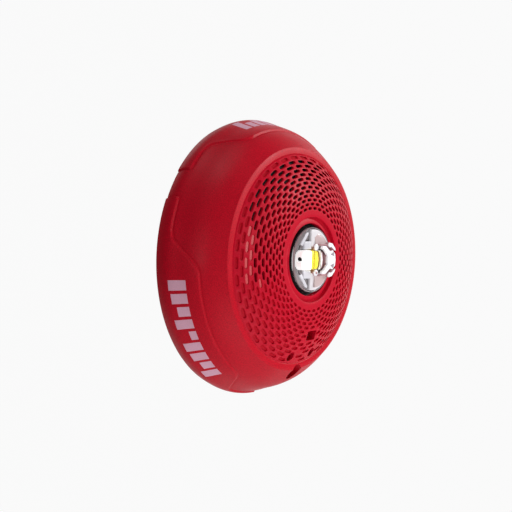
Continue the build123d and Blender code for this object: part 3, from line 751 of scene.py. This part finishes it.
def add_slot_cell(mesh, ring, first_step):
    """A cell with its slot: open right through, blind, or left out near the lower holes."""
    ring_radius = FIRST_RING_RADIUS - RING_STEP * ring
    angle = step_angle(first_step + STEPS_PER_SLOT / 2)
    x, z = clock_place(ring_radius, angle)
    front = cell_border(mesh, "front", ring, first_step)
    back = cell_border(mesh, "back", ring, first_step)
    if near_lower_hole(x, z):
        mesh.fan(front, mesh.add(ring_radius, angle, dome_height(ring_radius)))
        mesh.fan(back, mesh.add(ring_radius, angle, dome_height(ring_radius) - GRILLE_WALL))
        return
    lip = slot_loop(mesh, ring_radius, angle, SLOT_HALF_WIDTH + 0.16, 0.0)
    edge = slot_loop(mesh, ring_radius, angle, SLOT_HALF_WIDTH + 0.04, 0.06)
    wall = slot_loop(mesh, ring_radius, angle, SLOT_HALF_WIDTH, 0.2)
    mesh.strip(front, lip)
    mesh.strip(lip, edge)
    mesh.strip(edge, wall)
    if slot_is_open(x, z):
        neck = slot_loop(mesh, ring_radius, angle, SLOT_HALF_WIDTH, 0.7)
        rear = slot_loop(mesh, ring_radius, angle, SLOT_HALF_WIDTH + 0.25, 0.0, back=True)
        # The open slot's walls get painted shade.
        mesh.strip(wall, neck, SHADED)
        mesh.strip(neck, rear, SHADED)
        mesh.strip(rear, back)
    else:
        # Near the chamber's rim the blind slot's floor gets a painted highlight; elsewhere its wall and
        # floor get painted shade.
        pale = painted_highlight_slot(x, z)
        drop = PALE_DROP if pale else BLIND_DROP
        floor = slot_loop(mesh, ring_radius, angle, SLOT_HALF_WIDTH - 0.05, drop)
        mesh.strip(wall, floor, SHADED)
        middle = mesh.add(ring_radius, angle, dome_height(ring_radius) - drop)
        mesh.fan(floor, middle, PALE if pale else SHADED)
        mesh.fan(back, mesh.add(ring_radius, angle, dome_height(ring_radius) - GRILLE_WALL))


def close_grille(mesh):
    """The edge outside the slots and the crown, recess and lip inside them."""
    last_level = SLOT_RINGS * LEVELS_PER_RING
    outer_front = [mesh.grid("front", 0, step) for step in range(STEPS)]
    outer_back = [mesh.grid("back", 0, step) for step in range(STEPS)]
    inner_front = [mesh.grid("front", last_level, step) for step in range(STEPS)]
    inner_back = [mesh.grid("back", last_level, step) for step in range(STEPS)]
    edge = GRILLE_EDGE_HEIGHT
    outside = [(GRILLE_EDGE - 0.2, edge + 0.08), (GRILLE_EDGE, edge - 0.15)]
    outside.append((GRILLE_EDGE, edge - GRILLE_WALL))
    crown = DOME_HEIGHT
    recess_wall = RECESS_RADIUS + GRILLE_WALL
    inside = [(28.5, crown), (RECESS_RADIUS + 0.5, crown), (RECESS_RADIUS + 0.12, crown - 0.12)]
    inside += [(RECESS_RADIUS, crown - 0.5), (RECESS_RADIUS, crown - RECESS_DROP + 0.4)]
    inside += [(RECESS_RADIUS - 0.35, crown - RECESS_DROP), (STROBE_HOLE + 0.5, crown - LIP_DROP)]
    inside += [(STROBE_HOLE + 0.12, crown - LIP_DROP - 0.1), (STROBE_HOLE, crown - LIP_DROP - 0.45)]
    inside += [(STROBE_HOLE, RECESS_BACK), (recess_wall, RECESS_BACK)]
    inside.append((recess_wall, crown - GRILLE_WALL))
    for start, end, profile in ((outer_front, outer_back, outside), (inner_front, inner_back, inside)):
        previous = start
        for radius, height in profile:
            loop = [mesh.add(radius, step_angle(step), height) for step in range(STEPS)]
            mesh.strip(previous, loop)
            previous = loop
        mesh.strip(previous, end)


def window_prism(margin, low, high=None):
    """Two loops of a rounded rectangle at the setting window, at a low and a high level. Without a
    high level, the second loop stays a little behind the dome."""
    corner = WINDOW_CORNER
    half_x = WINDOW_SIZE[0] / 2 + margin
    half_z = WINDOW_SIZE[1] / 2 + margin
    ring = []
    for quarter, (side_x, side_z) in enumerate(((1, 1), (-1, 1), (-1, -1), (1, -1))):
        for step in range(4):
            angle = math.radians(90 * quarter + 30 * step)
            x = WINDOW_PLACE[0] + side_x * (half_x - corner) + corner * math.cos(angle)
            z = WINDOW_PLACE[1] + side_z * (half_z - corner) + corner * math.sin(angle)
            ring.append((x, z))
    corners = [(x, depth_at(low), z) for x, z in ring]
    for x, z in ring:
        height = dome_height(math.hypot(x, z)) - BEHIND_SKIN if high is None else high
        corners.append((x, depth_at(height), z))
    return corners, len(ring)


def window_frame():
    """The four walls behind the setting window."""
    inside, count = window_prism(0.03, WINDOW_REAR)
    corners = inside + window_prism(WELL_WALL, WINDOW_REAR)[0]
    loops = [range(start * count, (start + 1) * count) for start in (0, 1, 3, 2)]
    return corners, ring_of_loops(loops)


def add_grille():
    mesh = GrilleMesh()
    for ring in range(SLOT_RINGS):
        shift = STEPS_PER_SLOT // 2 if ring % 2 else 0
        for place in range(SLOTS_PER_RING):
            add_slot_cell(mesh, ring, place * STEPS_PER_SLOT + shift)
    close_grille(mesh)
    surface = SURFACES["red_face"]
    # The slots' walls and floors: the same red plastic made darker, as painted shade.
    shaded = grained("red_slots_painted_shade", (0.53, 0.002, 0.016), 0.55, 1300, 0.3, contrast=0.12, shine=0.1)
    # The floors of those slots: a paler, shinier red, as a painted highlight.
    pale = grained("red_slots_painted_highlight", (0.78, 0.10, 0.11), 0.45, 1300, 0.3, contrast=0.12, shine=0.4)
    piece = add_piece("grille_face", mesh.corners, mesh.faces, surface, "red_face", ("front_grille",),
                      others=(shaded, pale), shades=mesh.shades)
    cutters = [cylinder(place, WELL_RADIUS, -3, 12) for place in WELLS]
    cut_away(piece, cutters + [capped(*window_prism(0, -6, 16))])
    inner = WELL_RADIUS + 0.03
    outer = WELL_RADIUS + WELL_WALL
    cup = [(0.1, WELL_REAR), (0.1, WELL_FLOOR), (inner, WELL_FLOOR), (inner, None)]
    cup += [(outer, None), (outer, WELL_REAR)]
    frames = join_parts([sleeve(place, cup, dome_height) for place in WELLS] + [window_frame()])
    add_piece("grille_frames", *frames, surface, "red_face", ("front_grille",))


SOUNDER_PLACE = (0.0, 45.2)
SCREEN_RADIUS = 12.6


def add_dust_screen():
    """A black disc of mesh over the sounder's mouth, inside the chamber."""
    low = height_of(35.2)
    disc = cylinder(SOUNDER_PLACE, SCREEN_RADIUS, low, low + 0.3)
    add_piece("dust_screen", *disc, SURFACES["black_plastic"], "black_plastic")


# ---- strobe ---------------------------------------------------------------
LENS_RADIUS = 20.9
STROBE_TURN = 2.5
LENS_FACE_HEIGHT = 12.2
LENS_RIM_HEIGHT = 13.5
TRAY_HEIGHT = 12.0
TRAY_RADIUS = 18.7
BAR_HALF_HEIGHT = 6.1
OPTIC_RADIUS = 6.4
LENS_REAR = height_of(48.0)
LENS_FLANGE = height_of(50.0)
LENS_FLANGE_RADIUS = 24.5
LENS_INNER_RADIUS = 19.3
LENS_COLUMNS = 128
STAGE_REAR = height_of(49.0)
LOBE_SPLIT = 16.9
BEVEL_DEGREES = 25


def prism(outline, low, high, bevel=0.4, lean=(0.0, 0.0), segments=3):
    """A bevelled prism along the depth from (x, z) corners. Its front leans by so much per
    millimetre of x and of distance from the middle line."""
    bm = bmesh.new()
    rear = [bm.verts.new((x, depth_at(low), z)) for x, z in outline]
    front = []
    for x, z in outline:
        height = high + lean[0] * (x - outline[0][0]) + lean[1] * (abs(z) - abs(outline[0][1]))
        front.append(bm.verts.new((x, depth_at(height), z)))
    bm.faces.new(rear)
    bm.faces.new(list(reversed(front)))
    for i in range(len(outline)):
        after = (i + 1) % len(outline)
        bm.faces.new((rear[i], front[i], front[after], rear[after]))
    bmesh.ops.recalc_face_normals(bm, faces=bm.faces)
    edges = [edge for edge in bm.edges if edge.calc_face_angle(0) > math.radians(BEVEL_DEGREES)]
    bmesh.ops.bevel(bm, geom=edges, offset=bevel, segments=segments, affect="EDGES", profile=0.5)
    bm.verts.index_update()
    corners = [tuple(vert.co) for vert in bm.verts]
    faces = [tuple(vert.index for vert in face.verts) for face in bm.faces]
    bm.free()
    return corners, faces


def box_outline(x_low, x_high, z_low, z_high):
    """Corners of a rectangle."""
    return [(x_low, z_low), (x_high, z_low), (x_high, z_high), (x_low, z_high)]


def mirrored(outline, side):
    """The outline, or its mirror image below the middle line."""
    return [(x, z * side) for x, z in outline]


def add_strobe_piece(name, parts, material, slot, stands_for):
    """One piece of the strobe, turned with the optic bar."""
    corners, faces = join_parts(parts)
    turn = math.radians(STROBE_TURN)
    level = math.cos(turn)
    slope = math.sin(turn)
    corners = [(x * level + z * slope, y, z * level - x * slope) for x, y, z in corners]
    return add_piece(name, corners, faces, material, slot, stands_for, STROBE_SHARP_DEGREES)


def lens_shell():
    """The clear cup: its flange, wall and flat face."""
    inner = LENS_INNER_RADIUS
    outer = inner + 0.4
    face = LENS_FACE_HEIGHT
    under = face - 1.2
    rim = LENS_RIM_HEIGHT - 0.9
    profile = [(inner, LENS_REAR), (LENS_FLANGE_RADIUS, LENS_REAR), (LENS_FLANGE_RADIUS, LENS_FLANGE)]
    profile += [(outer, LENS_FLANGE), (outer, rim), (16.4, rim), (16.4, face), (9.0, face)]
    profile.append((NEAR_AXIS, face))
    profile += [(NEAR_AXIS, under), (9.0, under), (inner - 0.9, under), (inner, under - 1.0)]
    return turned(profile, LENS_COLUMNS)


def rim_ring(radius, width, base, top):
    """One rounded ring moulded on the lens's edge."""
    half = width / 2
    profile = [(radius - half, base), (radius + half, base), (radius + half, top - 0.35)]
    profile += [(radius + half - 0.2, top - 0.05), (radius, top), (radius - half + 0.2, top - 0.05)]
    profile += [(radius - half, top - 0.35)]
    return turned(profile, LENS_COLUMNS)


def bezel():
    """The black collar round the clear cup."""
    top = LENS_RIM_HEIGHT - 2.0
    base = 6.1
    inner = 19.75
    outer = 20.4
    profile = [(inner, base), (outer, base), (outer, top - 0.2), (outer - 0.1, top)]
    profile += [(outer - 0.3, top), (inner, top - 0.3)]
    return turned(profile, LENS_COLUMNS)


def petal_outline(reach, left, right, base):
    """A segment of the disc above the optic bar, cut off square at its left and right."""
    points = [(left + 0.6, base)]
    start = math.degrees(math.asin(left / reach))
    end = math.degrees(math.acos((base + 1.2) / reach))
    for step in range(13):
        angle = math.radians(start + (end - start) * step / 12)
        points.append((reach * math.sin(angle), reach * math.cos(angle)))
    points.append((right, base))
    return points


def add_lens():
    glass = SURFACES["clear_plastic"]
    hidden = ("strobe_lens",)
    add_strobe_piece("lens_shell", [lens_shell()], glass, "clear_plastic", hidden)
    add_strobe_piece("lens_bezel", [bezel()], SURFACES["black_plastic"], "black_plastic", hidden)
    rim = LENS_RIM_HEIGHT
    rings = [
        rim_ring(19.75, 0.5, rim - 1.2, rim),
        rim_ring(18.8, 0.3, rim - 1.2, rim - 0.2),
        rim_ring(18.0, 0.25, rim - 1.2, rim - 0.35),
        rim_ring(17.2, 0.6, rim - 1.4, rim - 0.1),
    ]
    frosted = clear("frosted_rims", (0.66, 0.60, 0.62), 0.14, 0.35)
    add_strobe_piece("lens_rims", rings, frosted, "clear_plastic", hidden)
    frames = []
    insets = []
    for side in (1, -1):
        outline = petal_outline(LENS_RADIUS - 2.0, -3.4, 9.6, 8.2)
        frames.append(prism(mirrored(outline, side), TRAY_HEIGHT, 14.2, 0.5, (-0.02, 0.02 * side)))
        inset = petal_outline(LENS_RADIUS - 4.0, 0.4, 8.6, 9.0)
        insets.append(prism(mirrored(inset, side), 14.0, 14.65, 0.2, (0.05, -0.08 * side)))
    # The petals' emission is a painted glow.
    bright = painted_glow("bright_petals", (0.78, 0.74, 0.77), 0.30, 0.06)
    add_strobe_piece("lens_petals", frames, bright, "clear_plastic", hidden)
    rosy = clear("rosy_petals", (0.80, 0.62, 0.62), 0.12, 0.2)
    add_strobe_piece("petal_insets", insets, rosy, "clear_plastic", hidden)


def add_left_quadrants():
    """The facets and blocks above and below the white arm."""
    smoke = clear("smoky_facets", (0.32, 0.28, 0.29), 0.20, 0.3)
    # The blocks' emission is a painted glow.
    pale = painted_glow("pale_blocks", (0.72, 0.70, 0.75), 0.25, 0.05)
    facets = []
    blocks = []
    for side in (1, -1):
        inner = [(-14.2, 6.6), (-10.4, 6.6), (-10.4, 11.0)]
        outer = [(-9.4, 12.2), (-4.0, 12.2), (-4.2, 16.2), (-5.6, 15.4)]
        block = box_outline(-9.8, -2.4, 6.5, 11.5)
        strip = [(-13.6, 9.6), (-11.2, 8.6), (-4.8, 16.0), (-5.4, 17.4), (-7.4, 16.6)]
        facets.append(prism(mirrored(inner, side), TRAY_HEIGHT, 13.0, 0.3))
        facets.append(prism(mirrored(outer, side), TRAY_HEIGHT, 12.9, 0.3))
        blocks.append(prism(mirrored(block, side), TRAY_HEIGHT, 13.9, 0.5, (0.03, 0)))
        blocks.append(prism(mirrored(strip, side), TRAY_HEIGHT, 13.5, 0.3))
    add_strobe_piece("lens_facets", facets, smoke, "clear_plastic", ("strobe_lens",))
    add_strobe_piece("lens_blocks", blocks, pale, "clear_plastic", ("strobe_lens",))


def add_right_arm():
    """The clear lobe at the right with its claws, oblique strips and small posts."""
    # The caps' emission is a painted glow standing in for their highlights.
    bright = painted_glow("bright_caps", (0.90, 0.89, 0.93), 0.25, 0.16)
    dusky = clear("dusky_walls", (0.70, 0.40, 0.42), 0.18, 0.25)
    lobe = [(9.2, -1.8), (10.4, -3.6), (12.2, -5.2), (15.2, -5.9), (17.7, -3.6), (18.3, 0)]
    lobe += [(17.7, 3.6), (15.2, 5.9), (12.2, 5.2), (10.4, 3.6), (9.2, 1.8)]
    web = [(7.3, -5.4), (8.7, -3.0), (8.7, 3.0), (7.3, 5.4), (6.9, 0)]
    strip = [(3.2, 7.2), (4.2, 8.7), (7.8, 8.5), (12.8, 5.0), (11.0, 2.2), (9.4, 3.0), (6.4, 5.8)]
    claw = [(11.0, 9.3), (12.0, 10.8), (15.4, 10.2), (18.6, 7.2), (19.2, 5.6), (17.6, 6.4)]
    claw += [(15.0, 8.0), (12.6, 7.8)]
    dent = [(12.4, 3.4), (15.6, 5.3), (16.6, 2.2)]
    rib = box_outline(3.6, 11.4, 8.8, 9.9)
    post_x = 1.3
    post_z = 7.9
    wall_top = LOBE_SPLIT - 0.02
    caps = [prism(lobe, LOBE_SPLIT, BAR_HEIGHT - 0.05, 0.25)]
    walls = [prism(lobe, TRAY_HEIGHT, wall_top, 0.1), prism(web, TRAY_HEIGHT, 15.6, 0.3)]
    dents = []
    for side in (1, -1):
        post = round_outline(post_x, post_z * side, 2.0)
        post_cap = round_outline(post_x, post_z * side, 2.1)
        caps.append(prism(mirrored(strip, side), LOBE_SPLIT - 0.2, 18.3, 0.2))
        caps.append(prism(mirrored(claw, side), LOBE_SPLIT, 17.8, 0.25))
        walls.append(prism(mirrored(claw, side), TRAY_HEIGHT, wall_top, 0.1))
        caps.append(prism(post_cap, 14.6, 15.6, 0.5))
        walls.append(prism(post, TRAY_HEIGHT, 14.58, 0.1))
        dents.append(prism(mirrored(dent, side), 18.0, BAR_HEIGHT, 0.05))
        walls.append(prism(mirrored(rib, side), TRAY_HEIGHT, 16.4, 0.2))
    walls.append(prism(round_outline(post_x, -post_z, 0.9), 15.4, 15.75, 0.1))
    add_strobe_piece("lens_lobe", caps, bright, "clear_plastic", ("strobe_lens",))
    add_strobe_piece("lens_webs", walls, dusky, "clear_plastic", ("strobe_lens",))
    smoke = clear("smoky_dents", (0.45, 0.40, 0.43), 0.2, 0.2)
    add_strobe_piece("lobe_dents", dents, smoke, "clear_plastic", ("strobe_lens",))


ARM_CORNER = 4.6
ARM_RIGHT = -7.4
ARM_HOLE_HEIGHT = 16.2
ARM_HOLE_Z = 1.2


def arm_outline():
    """The white arm from the front, with a round left end."""
    reach = BAR_HALF_HEIGHT
    corner = ARM_CORNER
    points = [(ARM_RIGHT, -reach), (ARM_RIGHT, reach)]
    for step in range(7):
        angle = math.radians(15 * step)
        x = corner - BAR_REACH - corner * math.sin(angle)
        points.append((x, reach - corner + corner * math.cos(angle)))
    for step in range(6, -1, -1):
        angle = math.radians(15 * step)
        x = corner - BAR_REACH - corner * math.sin(angle)
        points.append((x, corner - reach - corner * math.cos(angle)))
    return points


def arm_rod(radius, start, length):
    """A cylinder along X in the arm's end, from a start x."""
    corners, faces = cylinder((0, 0), radius, 0, length, 32)
    centre = depth_at(ARM_HOLE_HEIGHT)
    return [(depth_at(y) + start, centre + x, z + ARM_HOLE_Z) for x, y, z in corners], faces


def add_carrier():
    """The white arm at the left of the optic, and the dark tray under the lens."""
    rear = STAGE_REAR
    reach = BAR_HALF_HEIGHT
    arm = prism(arm_outline(), TRAY_HEIGHT, BAR_HEIGHT, 1.4, segments=5)
    # The arm's strong emission is a painted glow that brightens its shaded left end.
    arm_glow = painted_glow("arm_painted_glow", (0.93, 0.93, 0.93), 0.35, 0.5)
    piece = add_strobe_piece("optic_arm", [arm], arm_glow, "white_plastic", ("led_carrier",))
    cut_away(piece, [arm_rod(1.75, -21.5, 6)])
    white = SURFACES["white_plastic"]
    stage = prism(box_outline(-7.3, OPTIC_RADIUS, -reach, reach), rear, 11.9, 0.4)
    add_strobe_piece("optic_stage", [stage], white, "white_plastic", ("led_carrier",))
    low = rear - 1.4
    profile = [(NEAR_AXIS, low), (TRAY_RADIUS, low), (TRAY_RADIUS, rear), (NEAR_AXIS, rear)]
    divider = prism(box_outline(-0.95, -0.35, -5.6, 5.6), TRAY_HEIGHT, 15.0, 0.1)
    dark = SURFACES["black_plastic"]
    parts = [turned(profile), divider, arm_rod(1.7, -17.7, 2)]
    add_strobe_piece("optic_tray", parts, dark, "black_plastic", ("led_carrier",))


def half_tube(inner, outer, half_length, base):
    """A half-round shell along Z over the emitter."""
    steps = 24
    corners = []
    for radius in (outer, inner):
        for end in (-half_length, half_length):
            for step in range(steps + 1):
                angle = math.pi * step / steps
                height = base + radius * math.sin(angle)
                corners.append((-radius * math.cos(angle), depth_at(height), end))
    count = steps + 1
    loops = [0, count, 3 * count, 2 * count]
    faces = []
    for number in range(4):
        here = loops[number]
        there = loops[(number + 1) % 4]
        for i in range(steps):
            faces.append((here + i, here + i + 1, there + i + 1, there + i))
    for end in (0, steps):
        faces.append(tuple(loop + end for loop in loops))
    return corners, faces


def add_emitter():
    """Two phosphor strips under a thin clear half-round optic, with a clear rim at its right."""
    bulge = [(-0.32, -5.6), (2.6, -5.4), (3.7, -3.8), (4.3, 0), (3.7, 3.8), (2.6, 5.4), (-0.32, 5.6)]
    parts = [prism(box_outline(-3.8, -0.98, -5.7, 5.7), TRAY_HEIGHT, 15.2, 0.3)]
    parts.append(prism(bulge, TRAY_HEIGHT, 15.2, 0.4))
    add_strobe_piece("phosphor_strips", parts, SURFACES["phosphor"], "phosphor", ("led_emitter",))
    film = clear("optic_film", (0.99, 0.99, 0.98), 0.03, 1.0)
    film.node_tree.nodes["Principled BSDF"].inputs["IOR"].default_value = 1.12
    shell = half_tube(OPTIC_RADIUS - 0.3, OPTIC_RADIUS, BAR_HALF_HEIGHT, TRAY_HEIGHT)
    add_strobe_piece("optic_shell", [shell], film, "clear_plastic", ("led_optic",))
    rim = [(3.4, -6.0), (5.6, -4.6), (6.9, 0), (5.6, 4.6), (3.4, 6.0)]
    rim += [(2.9, 5.6), (4.5, 3.6), (5.1, 0), (4.5, -3.6), (2.9, -5.6)]
    lens_rim = prism(rim, 15.3, 16.4, 0.25)
    # The rim's emission is a painted glow.
    bright = painted_glow("optic_rim", (0.95, 0.95, 0.95), 0.1, 0.2)
    add_strobe_piece("optic_rim", [lens_rim], bright, "clear_plastic", ("led_optic",))


# ---- printed marks --------------------------------------------------------
MARK_HEIGHTS = (11.0, 7.5, 10.0, 11.0, 4.5, 11.0, 7.5, 10.0, 11.0)
MARK_LOW = -31.6
TALLEST_MARK = 11.0
MARK_LIFTS = (0.04, -0.02)
MARK_WIDTH_DEGREES = 4.2
MARK_PITCH_DEGREES = 5.6
MARK_TURNS = (9.0, 120.0, 239.5)


def mark_patch(angle, bottom, top):
    """One plain bar printed on the side wall, as a thin closed patch."""
    across = 6
    along = 10
    corners = []
    for lift in MARK_LIFTS:
        for i in range(along + 1):
            height = bottom + (top - bottom) * i / along
            radius = side_radius(height) + RAISED_LAYER + lift
            for j in range(across + 1):
                turn = angle + MARK_WIDTH_DEGREES * (j / across - 0.5)
                corners.append(clock_point(radius, turn, height))
    faces = []
    row = across + 1
    layer = (along + 1) * row
    for i in range(along):
        for j in range(across):
            a = i * row + j
            faces.append((a, a + 1, a + row + 1, a + row))
            faces.append((layer + a, layer + a + row, layer + a + row + 1, layer + a + 1))
    border = [j for j in range(across)]
    border += [i * row + across for i in range(along)]
    border += [along * row + across - j for j in range(across)]
    border += [(along - i) * row for i in range(along)]
    for i, here in enumerate(border):
        after = border[(i + 1) % len(border)]
        faces.append((here, layer + here, layer + after, after))
    return corners, faces


def add_marks():
    ink = grained("pale_ink", (0.76, 0.40, 0.52), 0.6, 1500, 0.3, contrast=0.06)
    patches = []
    count = len(MARK_HEIGHTS)
    for turn in MARK_TURNS:
        for number, reach in enumerate(MARK_HEIGHTS):
            angle = turn + MARK_PITCH_DEGREES * (number - (count - 1) / 2)
            patches.append(mark_patch(angle, MARK_LOW + TALLEST_MARK - reach, MARK_LOW + TALLEST_MARK))
    add_piece("printed_bars", *join_parts(patches), ink, "white_plastic")


# ---- camera, lights and floor ---------------------------------------------
CAMERA_AZIMUTH = -55.1
CAMERA_ELEVATION = 4.05
CAMERA_DISTANCE = 983
CAMERA_AIM_LEFT = 24.1
CAMERA_AIM_UP = 1.8


def facing_matrix(place, direction, axis):
    """The place and turn of something whose axis looks along a direction."""
    turn = direction.to_track_quat(axis, "Y").to_matrix().to_4x4()
    return Matrix.Translation(place) @ turn


def add_camera():
    """A long lens at the left front, a little above the device and aimed a little to its left."""
    azimuth = math.radians(CAMERA_AZIMUTH)
    elevation = math.radians(CAMERA_ELEVATION)
    level = math.cos(elevation)
    back = Vector((math.sin(azimuth) * level, -math.cos(azimuth) * level, math.sin(elevation)))
    right = Vector((math.cos(azimuth), math.sin(azimuth), 0))
    up = back.cross(right)
    centre = Vector((0, -BODY_DEPTH * MM, 0))
    place = centre + CAMERA_DISTANCE * MM * back
    aim = centre - CAMERA_AIM_LEFT * MM * right + CAMERA_AIM_UP * MM * up
    data = bpy.data.cameras.new("camera")
    data.lens = 111.1
    data.sensor_width = 36
    camera = link_object("camera", data)
    camera.matrix_world = facing_matrix(place, aim - place, "-Z")
    bpy.context.scene.camera = camera


LIGHT_AIM = (0, -0.03, 0)
BACKDROP_GLOW = 0.94


def add_area_light(name, place, size, power):
    data = bpy.data.lights.new(name, "AREA")
    data.size = size
    data.energy = power
    light = link_object(name, data)
    light.matrix_world = facing_matrix(Vector(place), Vector(LIGHT_AIM) - Vector(place), "-Z")


def add_world(strength, backdrop):
    """Even soft light from all round, which the camera sees as a pale backdrop."""
    world = bpy.data.worlds.new("studio")
    world.use_nodes = True
    tree = world.node_tree
    soft = tree.nodes["Background"]
    pale = tree.nodes.new("ShaderNodeBackground")
    for background, glow in ((soft, strength), (pale, backdrop)):
        background.inputs["Color"].default_value = (1, 1, 1, 1)
        background.inputs["Strength"].default_value = glow
    rays = tree.nodes.new("ShaderNodeLightPath")
    mix = tree.nodes.new("ShaderNodeMixShader")
    tree.links.new(rays.outputs["Is Camera Ray"], mix.inputs["Fac"])
    tree.links.new(soft.outputs["Background"], mix.inputs[1])
    tree.links.new(pale.outputs["Background"], mix.inputs[2])
    tree.links.new(mix.outputs["Shader"], tree.nodes["World Output"].inputs["Surface"])
    bpy.context.scene.world = world


def add_sheet(name, size, place, facing, glow):
    """A plain pale sheet of the studio, lit by the lamps or glowing by itself."""
    bm = bmesh.new()
    bmesh.ops.create_grid(bm, x_segments=8, y_segments=8, size=size)
    mesh = bpy.data.meshes.new(name)
    bm.to_mesh(mesh)
    bm.free()
    sheet = link_object(name, mesh)
    sheet.matrix_world = facing_matrix(Vector(place), Vector(facing), "Z")
    tone = 0.02 if glow else 0.9
    paper = grained(name + "_paper", (tone, tone, tone), 0.9, 200, 0.05, contrast=0.01, shine=0.05)
    shader = paper.node_tree.nodes["Principled BSDF"]
    shader.inputs["Emission Color"].default_value = (1, 1, 1, 1)
    shader.inputs["Emission Strength"].default_value = glow
    mesh.materials.append(paper)


def add_studio():
    add_world(0.12, BACKDROP_GLOW)
    add_sheet("floor", 3.0, (0, 0, -0.6), (0, 0, 1), 0)
    add_sheet("backdrop", 1.1, (0.98, 0.64, 0.1), (-0.82, -0.57, 0), BACKDROP_GLOW)
    add_area_light("key", (1.15, -0.95, 0.5), 0.45, 13)
    add_area_light("front", (-0.05, -1.35, 0.3), 0.5, 4.8)
    add_area_light("glint", (-1.15, -0.4, 0.15), 0.2, 1.7)
    add_area_light("top", (-0.2, -0.05, 1.2), 0.6, 3.2)
    add_area_light("low", (-0.1, -0.5, -0.5), 0.5, 1.7)


dress_cad_nodes()
add_housing()
add_grille()
add_dust_screen()
add_lens()
add_left_quadrants()
add_right_arm()
add_carrier()
add_emitter()
add_marks()
add_camera()
add_studio()
bpy.context.scene.view_settings.view_transform = "Standard"
